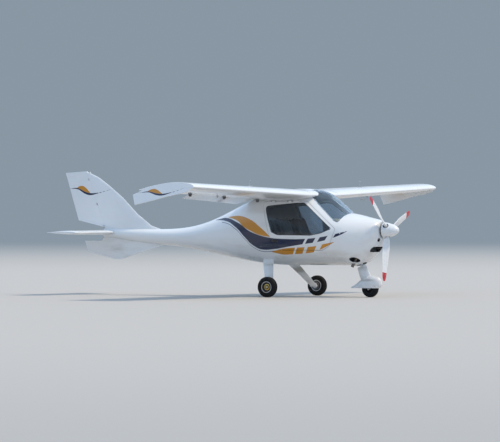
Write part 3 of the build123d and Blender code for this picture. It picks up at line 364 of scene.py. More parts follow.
def small(tail, nose, low, high, lift=0.0):
    """The small wave between two stations and two heights, on the outward side of upright pieces."""
    def masks(net):
        x, _, z = net.axes()
        out = outside(net)
        along = net.ramp(net.minus(NOSE_X, x), tail, nose, smooth=False)
        up = net.ramp(net.math("MULTIPLY_ADD", along, -lift, z), low, high, smooth=False)
        wave = net.group(small_wave, Along=along, Up=up)
        return net.times(out, wave["Navy"]), net.times(out, wave["Orange"]), None
    return masks


on_fin = small(6.08, 5.34, 1.62, 1.86)
on_tip = small(2.33, 1.58, 1.572, 1.760, 0.085)


def on_boom(net):
    """The end of the pod's wave, and the front of the fin's."""
    (navy, orange, line), (fin_navy, fin_orange, _) = on_pod(net), on_fin(net)
    return net.math("MAXIMUM", navy, fin_navy), net.math("MAXIMUM", orange, fin_orange), line


def fork_foot_shade(net):
    """The painted shade on the foot of the nose leg's fork, under its fairing."""
    return net.ramp(net.axes()[2], *FORK_SHADE_EDGE)


plain_white = painted("white_gelcoat", 0.25)


def metal(name, colour, roughness, grain=0.25, scale=60.0):
    """Bare or plated metal with fine grain and a little dullness in patches."""
    made, net = material(name, Metallic=1.0)
    dull, fine = net.noise(14.0, 3.0), net.noise(scale, 4.0)
    net.shade(Base_Color=net.mix(net.ramp(dull, 0.35, 0.75, 0.0, 0.35), colour, [c * 0.62 for c in colour]),
              Roughness=net.ramp(net.math("MULTIPLY_ADD", fine, grain, net.times(dull, 0.2)), 0.0, 1.0,
                                 roughness * 0.7, min(1.0, roughness * 1.7)),
              Normal=net.bump(fine, 0.0002, 0.3))
    return made


def plastic(name, colour, roughness):
    """Moulded plastic or paint with a fine pebbled skin, duller where dust settles."""
    made, net = material(name)
    net.shade(Base_Color=net.mix(net.patches(7.0, 3.0, 0.4, 0.8, 0.0, 0.12), colour, (0.32, 0.31, 0.28)),
              Roughness=net.patches(30.0, 2.0, 0.3, 0.7, roughness * 0.85, min(1.0, roughness * 1.15)),
              Normal=net.bump(net.noise(500.0), 0.0004, 0.4))
    return made


def rubber(name, colour):
    """Tyre and hose rubber: nearly black, brown with dust in places, matt."""
    made, net = material(name, Specular_IOR_Level=0.3)
    net.shade(Base_Color=net.mix(net.patches(11.0, 4.0, 0.50, 0.85, 0.0, 0.16), colour,
                                 (0.115, 0.098, 0.075)),
              Roughness=net.patches(40.0, 2.0, 0.3, 0.7, 0.66, 0.9),
              Normal=net.bump(net.noise(260.0, 3.0), 0.0006, 0.5))
    return made


steel = metal("brushed_steel", (0.56, 0.56, 0.57), 0.32)
dark_steel = metal("dark_plated_steel", (0.16, 0.16, 0.17), 0.42)
alloy = metal("cast_alloy", (0.70, 0.71, 0.73), 0.34, 0.4, 25.0)
black_plastic = plastic("black_plastic", (0.02, 0.02, 0.022), 0.42)
grey_plastic = plastic("grey_cabin_plastic", (0.16, 0.165, 0.175), 0.6)
tyre_rubber = rubber("tyre_rubber", (0.006, 0.006, 0.007))
seal_rubber = rubber("seal_rubber", (0.03, 0.03, 0.032))

# Which CAD pieces keep their shape, and what they are finished with
# The nose leg's fork is painted near-black below its fairing, as painted shade for the shadow under the
# fairing.
CARRIED = {
    painted("white_gelcoat_pod_wave", 0.4, on_pod): ["cabin_shell", "door_port", "door_starboard",
                                                     "cowl_upper", "cowl_lower"],
    plain_white: ["wing_centre", "wing_port", "wing_starboard", "flap_port", "flap_starboard", "aileron_port",
                  "aileron_starboard", "tailplane", "trim_tab"],
    painted("white_gelcoat_dusty", 0.8): ["main_legs", "nose_spat", "ventral_fin"],
    painted("white_gelcoat_fork", 0.6, shaded_foot=fork_foot_shade): ["nose_leg"],
    painted("white_gelcoat_boom", 0.2, on_boom): ["tail_boom"],
    painted("white_gelcoat_fin_wave", 0.15, on_fin): ["rudder"],
    painted("white_gelcoat_tip_wave", 0.15, on_tip): ["wing_tips"],
    painted("spinner_paint", 0.2): ["spinner"],
    steel: ["door_hinges", "main_axles", "tie_down_eyes"],
    # The propeller hub's dark steel is partly painted shade for the gap behind the spinner.
    dark_steel: ["steering_head", "engine", "control_sticks", "rudder_pedals", "propeller_hub"],
    alloy: ["firewall", "fuel_caps"],
    grey_plastic: ["cabin_floor", "centre_console", "seat_shells"],
}


def dress(piece, coat):
    """Gives a piece its material in place of any it had."""
    piece.data.materials.clear()
    piece.data.materials.append(coat)


for coat, names in CARRIED.items():
    for name in names:
        dress(cad_pieces[name], coat)

# Window glass
# Moulded plastic panes set flush in the shell and the doors, clear ahead and tinted at the sides, held by a
# bonded black bead round the edge.
WINDOW_EDGE = [(0.950, 1.102), (1.125, 1.028), (1.290, 0.997), (1.880, 1.003), (1.990, 1.048), (2.134, 1.462),
               (1.472, 1.524)]
BEAD_RADIUS, BEAD_PROUD, BEAD_STEP = 0.0045, 0.0005, 0.03
DOWN, UP, PORT, AHEAD = Vector((0, 0, -1)), Vector((0, 0, 1)), Vector((0, 1, 0)), Vector((1, 0, 0))

for finish, colour, panes in (("clear_acrylic", (0.70, 0.78, 0.83), ["windscreen"]),
                              ("tinted_acrylic", (0.50, 0.57, 0.64),
                               ["door_window_port", "door_window_starboard"])):
    acrylic, net = material(finish, Base_Color=colour, Transmission_Weight=1.0, IOR=1.46)
    net.shade(Roughness=net.ramp(net.noise(6.0, 4.0, (1.0, 1.0, 0.4)), 0.5, 0.8, 0.02, 0.10))
    for name in panes:
        dress(cad_pieces[name], acrylic)


def at(station, y, z):
    """A place from its station and its distances to port and up, in metres."""
    return Vector((NOSE_X - station, y, z))


skins = {}


def skin(names, start, direction):
    """Where a line from start first meets one of the CAD pieces, and the outward normal there."""
    best = None
    for name in names:
        if name not in skins:
            mesh = cad_pieces[name].data
            skins[name] = BVHTree.FromPolygons([v.co for v in mesh.vertices],
                                               [p.vertices for p in mesh.polygons])
        spot, normal, _, far = skins[name].ray_cast(start, direction.normalized())
        if spot is not None and (best is None or far < best[2]):
            best = (spot, normal if normal.dot(direction) < 0 else -normal, far)
    return best and best[:2]


def hits(names, lines):
    """What skin gives for each (start, direction) line that meets the CAD pieces."""
    return [met for met in (skin(names, *line) for line in lines) if met]


def port_side(names, places):
    """What skin gives for (station, height) places looked at from the port side."""
    return hits(names, [(at(station, 1.2, height), -PORT) for station, height in places])


def frame_of(direction):
    """Two unit vectors square to a direction."""
    along = direction.normalized()
    side = along.cross(UP).normalized() if abs(along.z) < 0.9 else along.orthogonal().normalized()
    return side, along.cross(side).normalized()


def circle(middle, side, up, radius, steps):
    """Points round a circle."""
    return [middle + side * (radius * cos(a)) + up * (radius * sin(a))
            for a in (2 * pi * k / steps for k in range(steps))]


def bar(points, radius, steps=10, closed=False):
    """A round bar along a path of points. Radius may be a list with one for each point."""
    verts, faces = [], []
    side = None
    for i, p in enumerate(points):
        ahead = (points[min(i + 1, len(points) - 1)] - points[max(i - 1, 0)]).normalized()
        if side is None:
            side, up = frame_of(ahead)
        else:
            side = (side - ahead * side.dot(ahead)).normalized()
            up = ahead.cross(side).normalized()
        verts += circle(p, side, up, radius[i] if isinstance(radius, list) else radius, steps)
    rings = [[i * steps + k for k in range(steps)] for i in range(len(points))]
    for one, two in zip(rings, rings[1:] + ([rings[0]] if closed else [])):
        faces += [[one[k - 1], one[k], two[k], two[k - 1]] for k in range(steps)]
    if not closed:
        faces += [rings[0][::-1], rings[-1]]
    return verts, faces


def joined(*parts):
    """Several (vertices, faces) pairs as one."""
    verts, faces = [], []
    for some, more in parts:
        start = len(verts)
        verts += some
        faces += [[v + start for v in face] for face in more]
    return verts, faces


def mirrored(shape):
    """The starboard twin of a (vertices, faces) pair."""
    verts, faces = shape
    return [Vector((v[0], -v[1], v[2])) for v in verts], [face[::-1] for face in faces]


def pair(*parts):
    """Parts on the port side and their twins to starboard, as one shape."""
    shape = joined(*parts)
    return joined(shape, mirrored(shape))


def body_piece(name, shape, body, coat, sharp=35):
    """A mesh piece that rides on a CAD body. Edges sharper than the angle stay hard, and at 0 all do."""
    mesh = bpy.data.meshes.new(name)
    mesh.from_pydata([tuple(v) for v in shape[0]], [], shape[1])
    mesh.update()
    piece = place(name, mesh)
    dress(piece, coat)
    if sharp:
        mesh.shade_smooth()
        mesh.set_sharp_from_angle(angle=radians(sharp))
    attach(piece, body)
    return piece


def on_both_doors(name, shape, coat):
    """A piece on the port door and its twin on the starboard one."""
    for side, twin in (("port", shape), ("starboard", mirrored(shape))):
        body_piece(name + side, twin, side + "_door", coat)


def rounded(points, share=0.16, steps=5):
    """A closed outline of (station, height) with its corners cut round."""
    line = []
    for i in range(len(points)):
        here, back, ahead = (Vector(points[j % len(points)]) for j in (i, i - 1, i + 1))
        reach = min((back - here).length, (ahead - here).length) * share
        start, end = here + (back - here).normalized() * reach, here + (ahead - here).normalized() * reach
        line += [start * (1 - t) ** 2 + here * (2 * t * (1 - t)) + end * t ** 2
                 for t in (k / steps for k in range(steps + 1))]
    return line


def along_edge(outline, spacing):
    """Points at even steps round a closed outline."""
    line = []
    for a, b in zip(outline, outline[1:] + outline[:1]):
        parts = max(1, round((b - a).length / spacing))
        line += [a + (b - a) * (k / parts) for k in range(parts)]
    return line


round_window = port_side(["door_port", "door_window_port"], along_edge(rounded(WINDOW_EDGE), BEAD_STEP))
bead = bar([spot + normal * BEAD_PROUD for spot, normal in round_window], BEAD_RADIUS, 8, closed=True)
on_both_doors("window_bead_", bead, seal_rubber)

# Door handles and latches
# A flush black lever in a shallow dish low on each door, and the round lock below it.
HANDLE_STATION, HANDLE_HEIGHT = 1.93, 0.905
LOCK_DROP = 0.045


def turned(rows, centre, axis, steps=48):
    """A profile of (along the axis, radius) rows turned about the axis, closed where the radius is 0."""
    along, (side, up) = axis.normalized(), frame_of(axis)
    verts, faces, rings = [], [], []
    for offset, radius in rows:
        middle = centre + along * offset
        if radius <= 1e-6:
            rings.append([len(verts)] * steps)
            verts.append(middle)
            continue
        rings.append(list(range(len(verts), len(verts) + steps)))
        verts += circle(middle, side, up, radius, steps)
    for one, two in zip(rings, rings[1:]):
        for k in range(steps):
            n = (k + 1) % steps
            face = list(dict.fromkeys([one[k], one[n], two[n], two[k]]))
            if len(face) > 2:
                faces.append(face)
    return verts, faces


def slab(corners, thickness, inward=0.0, outward=None):
    """A flat plate of the corners' outline, its far face drawn in a little so that the edge looks broken.
    Outward, if given, is the side that the far face is on whichever way the corners run."""
    corners = [Vector(c) for c in corners]
    normal = (corners[1] - corners[0]).cross(corners[2] - corners[1]).normalized()
    if outward and normal.dot(outward) < 0:
        return slab(corners[::-1], thickness, inward)
    middle = sum(corners, Vector()) / len(corners)
    n = len(corners)
    top = [c + normal * thickness for c in corners]
    edge = [t - normal * inward for t in top]
    verts = corners + edge + [t + (middle - t).normalized() * inward for t in top]
    faces = [list(range(n))[::-1], [2 * n + k for k in range(n)]]
    for k in range(n):
        m = (k + 1) % n
        faces += [[k, m, n + m, n + k], [n + k, n + m, 2 * n + m, 2 * n + k]]
    return verts, faces


def plate_on(spot, outward, lengthwise, upwards, half_length, half_height, thickness, corner, steps=5):
    """A round-cornered plate that stands out from a skin, sunk a little into it."""
    ring = []
    for cx, cy, start in ((1, 1, 0), (-1, 1, 90), (-1, -1, 180), (1, -1, 270)):
        for k in range(steps + 1):
            a = radians(start + 90 * k / steps)
            ring.append(spot - outward * 0.004 + lengthwise * (cx * (half_length - corner) + corner * cos(a))
                        + upwards * (cy * (half_height - corner) + corner * sin(a)))
    return slab(ring, thickness + 0.004, min(thickness, corner) * 0.4, outward)


def up_skin(outward, lengthwise):
    """The direction up a skin, square to one along it."""
    up = outward.cross(lengthwise).normalized()
    return up if up.z > 0 else -up


(spot, out), = port_side(["door_port"], [(HANDLE_STATION, HANDLE_HEIGHT)])
upwards = up_skin(out, AHEAD)
handle = joined(plate_on(spot, out, AHEAD, upwards, 0.062, 0.022, 0.003, 0.018),
                plate_on(spot + out * 0.004, out, AHEAD, upwards, 0.050, 0.011, 0.006, 0.009),
                turned([(0, 0), (0, 0.010), (0.003, 0.010), (0.004, 0.008), (0.004, 0)],
                       spot - upwards * LOCK_DROP, out, 24))
on_both_doors("door_handle_", handle, black_plastic)

# Cowling fasteners
# Slotted quarter-turn studs, sprayed with the cowling and let in flush along the seam between its halves and
# round its rear edge.
STUD = 0.008
SEAM_HEIGHT, SEAM_ROWS = 1.04, (1.052, 1.028)
SEAM_STATIONS = (0.42, 0.50, 0.58, 0.66, 0.74, 0.806)
REAR_EDGE = at(0.812, 0, 0.96)


def stud(spot, normal):
    """One flush stud with its slot."""
    disc = turned([(-0.002, STUD), (0.0010, STUD), (0.0016, STUD * 0.8), (0.0006, STUD * 0.72),
                   (0.0006, 0)], spot, normal, 20)
    side, _ = frame_of(normal)
    across = normal.cross(side)
    mark = slab([spot + normal * 0.0004 + side * (0.0052 * a) + across * (0.0009 * b) for a, b in
                 ((-1, -1), (1, -1), (1, 1), (-1, 1))], 0.0007, 0.0002)
    return joined(disc, mark)


cowling = ["cowl_upper", "cowl_lower"]
met = port_side(cowling, [(station, height) for station in SEAM_STATIONS for height in SEAM_ROWS])
rays = [Vector((0, cos(turn), sin(turn))) for turn in (radians(-68 + 17 * k) for k in range(9))]
met += [(spot, normal) for spot, normal in hits(cowling, [(REAR_EDGE + away * 1.2, -away) for away in rays])
        if abs(spot.z - SEAM_HEIGHT) > 0.035]
body_piece("cowl_studs", pair(*[stud(*place_on) for place_on in met]), "airframe", plain_white)

# Inlet edging and shade
# Black rubber strip pushed over the rims of the two small round inlets beside the spinner; its black is
# partly painted shade that widens the dark of the hollow inlets.
INLET_Y, INLET_Z, INLET_RADIUS = 0.112, 0.922, 0.026
ring = circle(at(0.0, INLET_Y, INLET_Z), PORT, UP, INLET_RADIUS, 24)
rim = [spot for spot, _ in hits(cowling, [(start, -AHEAD) for start in ring])]
body_piece("inlet_edging_and_shade", pair(bar(rim, 0.006, 8, closed=True)), "airframe", seal_rubber)

# Cooler behind the mouth
# An alloy core of flat tubes with upright folded fins on its face, hung behind the cowling's mouth, with a
# tank at the back of each end.
TUBES, FOLDS, TANK = 9, 64, 0.022
(x0, y0, z0), (x1, y1, z1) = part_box("radiator")
right, left = y0 + 0.02, y1 - 0.02
rear, foot, crown = x0 + 0.002, z0 + 0.002, z1 - 0.002
core = []
for k in range(TUBES):
    z = z0 + (z1 - z0) * (k + 0.5) / TUBES - 0.0014
    core.append(slab([(x0 + 0.004, right, z), (x1, right, z), (x1, left, z), (x0 + 0.004, left, z)],
                     0.0028, 0.0006))
for k in range(FOLDS):
    y, lean = y0 + TANK + (y1 - y0 - 2 * TANK) * k / (FOLDS - 1), 0.0016 * (-1) ** k
    core.append(slab([(x1 - 0.006, y + aside + lean * way, z) for aside, way, z in
                      ((-0.0004, -1, z0 + 0.004), (0.0004, -1, z0 + 0.004), (0.0004, 1, z1 - 0.004),
                       (-0.0004, 1, z1 - 0.004))], 0.005, 0.0001))
for y in (y0, y1 - TANK):
    core.append(slab([(x0, y, z1), (x0, y + TANK, z1), (x0, y + TANK, z0), (x0, y, z0)], x1 - x0, 0.003))
sheet = [(rear, right, foot), (rear, left, foot), (rear, left, crown), (rear, right, crown)]
core.append(slab(sheet, 0.004, 0.001))
cooler_metal = metal("cooler_alloy", (0.20, 0.205, 0.21), 0.5, 0.3, 80.0)
cooler = body_piece("cooler_core", joined(*core), "airframe", cooler_metal, sharp=0)
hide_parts("radiator")

# Exhaust stub
# A thin steel pipe, straw and blue near the cowling and sooty inside its cut end.
STRAW, BLUED, BROWNED, SOOT = (0.46, 0.38, 0.28), (0.22, 0.24, 0.36), (0.20, 0.16, 0.14), (0.05, 0.045, 0.04)
hot, net = material("heated_steel", Metallic=1.0)
_, _, z = net.axes()
blue = net.times(net.ramp(z, 0.50, 0.56), net.ramp(z, 0.62, 0.57))
tint = net.mix(net.times(blue, 0.6), net.mix(net.ramp(z, 0.49, 0.60), BROWNED, STRAW), BLUED)
net.shade(Base_Color=net.mix(net.patches(30.0, 4.0, 0.35, 0.7, 0.0, 0.6), tint, SOOT),
          Roughness=net.patches(24.0, 3.0, 0.3, 0.7, 0.3, 0.6),
          Normal=net.bump(net.noise(200.0), 0.0003, 0.4))
dress(cad_pieces["exhaust"], hot)

# Propeller and spinner
# Three painted composite blades with red tips, scuffed towards their ends, in alloy clamps, and a sprayed
# spinner held to its back plate by ten screws.
HUB = at(0.196, 0, 1.078)
RED_FROM = 0.690
BLADE_ANGLES = (-50.5, 69.5, 189.5)
SCREW_STATION, SCREWS = 0.252, 10
blade_paint, net = material("blade_paint", Coat_Weight=0.3)
_, y, z = net.axes()
reach = net.math("POWER", net.math("ADD", net.times(y, y), net.math("POWER", net.minus(z, HUB.z), 2.0)), 0.5)
worn = net.times(net.patches(34.0, 5.0, 0.60, 0.72, 0.0, 0.5), net.ramp(reach, 0.25, 0.8))
tone = net.mix(net.ramp(reach, RED_FROM - 0.003, RED_FROM + 0.003), (0.78, 0.79, 0.80), (0.50, 0.025, 0.035))
net.shade(Base_Color=net.mix(worn, tone, (0.52, 0.49, 0.46)),
          Roughness=net.patches(20.0, 3.0, 0.3, 0.7, 0.22, 0.42),
          Normal=net.bump(net.noise(300.0), 0.0003, 0.3))
dress(cad_pieces["propeller_blades"], blade_paint)

rays = [Vector((0, cos(a), sin(a))) for a in (2 * pi * (k + 0.5) / SCREWS for k in range(SCREWS))]
spots = hits(["spinner"], [(at(SCREW_STATION, 0, HUB.z) + away * 0.4, -away) for away in rays])
screw = [(-0.001, 0.0052), (0.0012, 0.0052), (0.0020, 0.0036), (0.0011, 0.0018), (0.0011, 0)]
body_piece("spinner_screws", joined(*[turned(screw, *met, 16) for met in spots]), "propeller", steel)
clamp = [(0.050, 0.0), (0.050, 0.034), (0.056, 0.038), (0.078, 0.038), (0.084, 0.033),
         (0.094, 0.029), (0.094, 0.0)]
ways = [Vector((0, sin(radians(angle)), cos(radians(angle)))) for angle in BLADE_ANGLES]
body_piece("blade_clamps", joined(*[turned(clamp, HUB, way, 40) for way in ways]), "propeller", alloy)

# Wheels
# Low-pressure tyres with three grooves on blackened rims bolted together round the hub, with bright lips on
# the main ones, yellow-plated hub caps, and a brake disc behind each main wheel. The dark rims and brake
# discs are partly painted shade for the wheels' shaded inner sides, and the nose wheel's dark lips are
# painted shade for the shadow under its spat.
MAIN_Y, MAIN_Z, MAIN_STATION = 0.859, 0.165, 1.930
NOSE_Z, NOSE_STATION = 0.140, 0.516
GROOVES = 3
dark_rim = metal("blackened_rim", (0.05, 0.05, 0.055), 0.45, 0.3, 30.0)
hub_brass = metal("yellow_plated_hub", (0.70, 0.50, 0.14), 0.36, 0.3, 40.0)


def hex_bolt(foot, axis, size, height):
    """A bolt head with its washer."""
    side, up = frame_of(axis)
    ring = circle(foot + axis.normalized() * size * 0.12, side, up, size, 6)
    washer = turned([(0, 0), (0, size * 1.25), (size * 0.12, size * 1.25), (size * 0.14, 0)], foot, axis, 18)
    return joined(slab(ring, height, size * 0.12), washer)


def tyre(radius, bead, half):
    """A tyre's profile with tread grooves and a rim flange, as (along the axle, radius) rows."""
    shoulder = radius - 0.42 * (radius - bead)
    rows = [(-half * 0.70, bead - 0.001), (-half * 0.80, bead + 0.004), (-half * 0.93, bead + 0.010)]
    rows += [(-half + half * 0.02 * (1 - sin(radians(15 * k))),
              bead + 0.010 + (shoulder - bead - 0.010) * k / 6) for k in range(1, 7)]
    rows += [(-half + half * 0.62 * (1 - cos(radians(15 * k))),
              shoulder + (radius - shoulder) * sin(radians(15 * k))) for k in range(1, 6)]
    span = half * 0.40
    outer = rows + [(-span, radius)]
    rows = list(outer)
    for k in range(GROOVES):
        middle = -span + 2 * span * (k + 1) / (GROOVES + 1)
        rows += [(middle - 0.0045, radius), (middle - 0.003, radius - 0.005),
                 (middle + 0.003, radius - 0.005), (middle + 0.0045, radius)]
    return rows + [(-a, r) for a, r in outer[::-1]]


def build_wheel(name, centre, outward, bead, half, hub, bolts, body, lip_metal):
    """One wheel's tyre and rim, which stand for its CAD pieces, with its lips, valve and hub cap."""
    axle = Vector((0, outward, 0))
    rubber_piece = body_piece(name + "_tyre_dressed", turned(tyre(centre.z, bead, half), centre, axle, 120),
                              body, tyre_rubber, sharp=40)
    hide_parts("nose_tyre" if body == "nose_wheel" else "main_tyre_" + name)
    web = [(half * 0.80, bead + 0.006), (half * 0.83, bead + 0.004), (half * 0.83, bead - 0.003),
           (half * 0.70, bead - 0.006), (half * 0.52, bead - 0.010), (half * 0.34, bead - 0.018),
           (half * 0.24, bead - 0.030), (half * 0.22, hub + 0.016), (half * 0.28, hub + 0.010),
           (half * 0.60, hub + 0.004), (half * 0.66, hub), (half * 0.66, hub * 0.62),
           (half * 0.58, hub * 0.56), (half * 0.56, 0.0)]
    lip = [(half * 0.80, bead + 0.0065), (half * 0.845, bead + 0.0045), (half * 0.845, bead - 0.0035),
           (half * 0.70, bead - 0.0065)]
    parts, lips = [], []
    for way in (axle, -axle):
        parts.append(turned(web, centre, way, 72))
        lips.append(turned(lip, centre, way, 72))
        for a in (2 * pi * (k + 0.5) / bolts for k in range(bolts)):
            spot = centre + way * (half * 0.235) + Vector((cos(a), 0, sin(a))) * (hub + 0.020)
            parts.append(hex_bolt(spot, way, 0.0055, 0.005))
    parts.append(turned([(-half * 0.8, bead + 0.001), (half * 0.8, bead + 0.001)], centre, axle, 72))
    rim = body_piece(name + "_rim_dressed", joined(*parts), body, dark_rim)
    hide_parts("nose_rim" if body == "nose_wheel" else "main_rim_" + name)
    body_piece(name + "_rim_lips", joined(*lips), body, lip_metal)
    foot = centre + axle * (half * 0.55) - UP * (bead - 0.012)
    stem = bar([foot, foot + axle * 0.010 + UP * 0.004, foot + axle * 0.026 + UP * 0.010], 0.0032)
    body_piece(name + "_valve", stem, body, black_plastic)
    cap = [(half * 0.30, hub * 1.7), (half * 0.44, hub * 1.6), (half * 0.50, hub * 1.0),
           (half * 0.74, hub * 0.62), (half * 0.84, hub * 0.4), (half * 0.85, 0)]
    body_piece(name + "_hub_cap", turned(cap, centre, axle, 36), body, hub_brass)


for name, sign in (("port", 1), ("starboard", -1)):
    centre = at(MAIN_STATION, sign * MAIN_Y, MAIN_Z)
    build_wheel(name, centre, sign, 0.086, 0.052, 0.030, 6, name + "_wheel", alloy)
    # The brake disc's dark steel is partly painted shade for the wheel's shaded inner side.
    disc = turned([(-0.003, 0.028), (-0.003, 0.070), (0.0, 0.071), (0.003, 0.070), (0.003, 0.028)],
                  centre - PORT * (sign * 0.060), PORT * sign, 60)
    body_piece(name + "_brake_disc", disc, name + "_wheel", dark_steel)
# Dark lips on the nose wheel: painted shade for the shadow under its spat.
build_wheel("nose", at(NOSE_STATION, 0, NOSE_Z), 1, 0.072, 0.046, 0.022, 5, "nose_wheel", dark_rim)

# Brake calipers and lines
# An alloy caliper straddles each disc behind the axle, fed by a thin line clipped down the rear of the leg.
# Three bolts hold the axle's flange to the leg.
LEG_LINE = [(2.272, 0.330, 0.600), (2.222, 0.440, 0.500), (2.086, 0.640, 0.300), (1.996, 0.752, 0.175)]
CLIPS = (2, 6, 10)
BRIDGE_OUTLINE = [(0.083, 0.032), (0.037, 0.032), (0.037, -0.016), (0.083, -0.016)]
ARM_OUTLINE = [(0.01, -0.012), (0.07, -0.012), (0.07, 0.028), (0.01, 0.028)]
FLANGE_BOLTS = [(0, 0.030), (0, -0.030), (-0.030, 0)]


def by_axle(back, inboard, up):
    """A place from its distances aft of, inboard of and above the port wheel's middle."""
    return at(MAIN_STATION + back, MAIN_Y - inboard, MAIN_Z + up)


shoes = [plate_on(by_axle(0.062, 0.060 - way * 0.017, 0.008), PORT * way, AHEAD, UP,
                  0.020, 0.026, 0.012, 0.008) for way in (-1, 1)]
bridge = slab([by_axle(0.085, inboard, up) for inboard, up in BRIDGE_OUTLINE], 0.010, 0.003)
arm = slab([by_axle(back, 0.075, up) for back, up in ARM_OUTLINE], 0.006, 0.002)
body_piece("brake_calipers", pair(*shoes, bridge, arm), "airframe", alloy, sharp=30)
line = []
for one, two in zip(LEG_LINE, LEG_LINE[1:]):
    line += [at(*one).lerp(at(*two), t) for t in (0, 0.25, 0.5, 0.75)]
line += [at(*LEG_LINE[-1]), by_axle(0.072, 0.072, 0.034)]
body_piece("brake_lines", pair(bar(line, 0.0028, 8)), "airframe", black_plastic)
clip = [(-0.006, 0.0), (-0.006, 0.0052), (0.006, 0.0052), (0.006, 0.0)]
body_piece("brake_line_clips", pair(*[turned(clip, line[k], line[k + 1] - line[k], 14) for k in CLIPS]),
           "airframe", steel)
body_piece("axle_flange_bolts", pair(*[hex_bolt(by_axle(back, 0.069, up), -PORT, 0.007, 0.006)
                                       for back, up in FLANGE_BOLTS]), "airframe", steel)

# Nose gear fittings
# Steel washers on the nose axle's ends outside the fork, and screws round the fairing's sides.
washer = turned([(0.0, 0.0050), (0.0, 0.019), (0.003, 0.019), (0.003, 0.0050)],
                at(NOSE_STATION, 0.067, NOSE_Z), PORT, 28)
body_piece("nose_axle_washers", pair(washer), "nose_gear", steel)
screw = [(-0.001, 0.005), (0.0012, 0.005), (0.0020, 0.0034), (0.0012, 0.0017), (0.0012, 0)]
spots = port_side(["nose_spat"], ((0.40, 0.175), (0.47, 0.165), (0.60, 0.165), (0.68, 0.170)))
body_piece("spat_screws", pair(*[turned(screw, *met, 16) for met in spots]), "nose_gear", steel)

# Wing fittings
# Dark steel hinge brackets bolted under the trailing edge ahead of the flaps and ailerons, and the seals
# pressed into the joints between the wing panels and the cabin roof.
BRACKET_Y = (0.75, 1.86, 2.97)
BRACKET_SIDE = [(2.142, 0.004), (2.150, -0.030), (2.164, -0.048), (2.188, -0.048),
                (2.198, -0.030), (2.203, 0.004)]
PIVOT_STATION, PIVOT_DROP = 2.176, 0.034
SEAL_Y, SEAL_RADIUS = 0.463, 0.0013


def under_wing(station, y):
    """The wing's lower skin."""
    return skin(["wing_port"], at(station, y, 1.3), UP)[0]


fittings = []
for y in BRACKET_Y:
    for offset in (-0.009, 0.005):
        fittings.append(slab([under_wing(station, y) + Vector((0, offset, drop))
                              for station, drop in BRACKET_SIDE], 0.004, 0.0008))
    pivot = at(PIVOT_STATION, y, under_wing(BRACKET_SIDE[3][0], y).z - PIVOT_DROP)
    fittings.append(turned([(0, 0), (0, 0.0045), (0.032, 0.0045), (0.032, 0)],
                           pivot - PORT * 0.016, PORT, 16))
    fittings.append(hex_bolt(pivot + PORT * 0.012, PORT, 0.0065, 0.005))
    fittings += [hex_bolt(under_wing(station, y + 0.022), DOWN, 0.005, 0.003) for station in (2.148, 2.198)]
    fittings.append(slab([under_wing(station, y + aside) + UP * 0.001 for station, aside in
                          ((2.132, -0.030), (2.132, 0.030), (2.211, 0.030), (2.211, -0.030))], 0.003, 0.001))
body_piece("wing_brackets", pair(*fittings), "airframe", dark_steel, sharp=25)

over = [(at(2.66 - 0.03 * k, SEAL_Y, 2.3), DOWN) for k in range(40)]
rays = [Vector((cos(turn), 0, sin(turn))) for turn in (radians(85 - 170 * k / 18) for k in range(19))]
round_nose = [(at(1.46, SEAL_Y, 1.66) + away * 0.6, -away) for away in rays]
under = [(at(1.49 + 0.03 * k, SEAL_Y, 1.3), UP) for k in range(40)]
seal = bar([spot for spot, _ in hits(["wing_port"], over + round_nose + under)], SEAL_RADIUS, 6)
body_piece("wing_joint_seals", pair(seal), "airframe", grey_plastic)

# Fin lamp
# A clear round strobe lamp on a white foot at the top rear of the fin.
LAMP_RADIUS = 0.0118
foot = skin(["tail_boom"], at(5.735, 0, 2.4), DOWN)[0]
base = [(-0.012, 0.016), (0.004, 0.016), (0.008, 0.013), (0.008, 0)]
body_piece("fin_lamp_foot", turned(base, foot, UP, 32), "airframe", plain_white)
lamp_glass, net = material("lamp_glass", Base_Color=(0.85, 0.87, 0.88), Transmission_Weight=0.9, IOR=1.45)
net.shade(Roughness=net.patches(60.0, 2.0, 0.3, 0.7, 0.05, 0.15))
globe = [(0.008, LAMP_RADIUS)] + [(0.014 + 0.012 * sin(radians(15 * k)), LAMP_RADIUS * cos(radians(15 * k)))
                                  for k in range(6)] + [(0.026, 0)]
body_piece("fin_lamp", turned(globe, foot, UP, 32), "airframe", lamp_glass)

# Rudder horn
# A steel arm through the rudder's foot with a pin at each end and the swaged end of a cable on it.
HORN = at(5.462, 0, 1.136)
HORN_OUTLINE = [(0.014, -0.058), (-0.016, -0.030), (-0.016, 0.030), (0.014, 0.058),
                (0.026, 0.052), (0.026, -0.052)]
horn = [slab([HORN + Vector((ahead, y, 0)) for ahead, y in HORN_OUTLINE], 0.0035, 0.0006)]
for sign in (-1, 1):
    pin = HORN + Vector((0.019, sign * 0.050, -0.006))
    eye = pin + UP * 0.0035
    horn += [turned([(0, 0), (0, 0.004), (0.016, 0.004), (0.016, 0)], pin, UP, 14),
             bar([eye, eye + Vector((0.030, 0, 0.001))], 0.0035, 8)]
body_piece("rudder_horn", joined(*horn), "rudder", steel)

# Seat pads
# A squab and a backrest on each seat: foam in a dark heathered cloth, sewn across in channels between a seam
# down each side.
PAD_VOXEL, PAD_SHRINK = 0.010, 0.007
SWELL, EDGE_SWELL, FORWARD_AND_UP = 0.016, 0.006, Vector((0.7, 0, 0.7))
PRESSURE, SWELL_FRAMES = 4.0, 20
SEAM_Y = (0.186, 0.389)
SQUAB_SEAMS, BACK_SEAMS = (1.40, 1.50, 1.60), (0.86, 0.97, 1.08, 1.19)
BACK_FOOT, BACK_FOOT_HEIGHT, BACK_LEAN = 1.69, 0.70, 0.45
SEAM_DEPTH, SEAM_WIDTH = 0.006, 0.007


def evaluated(piece):
    """A piece's mesh with its modifiers applied."""
    return bpy.data.meshes.new_from_object(piece.evaluated_get(bpy.context.evaluated_depsgraph_get()))


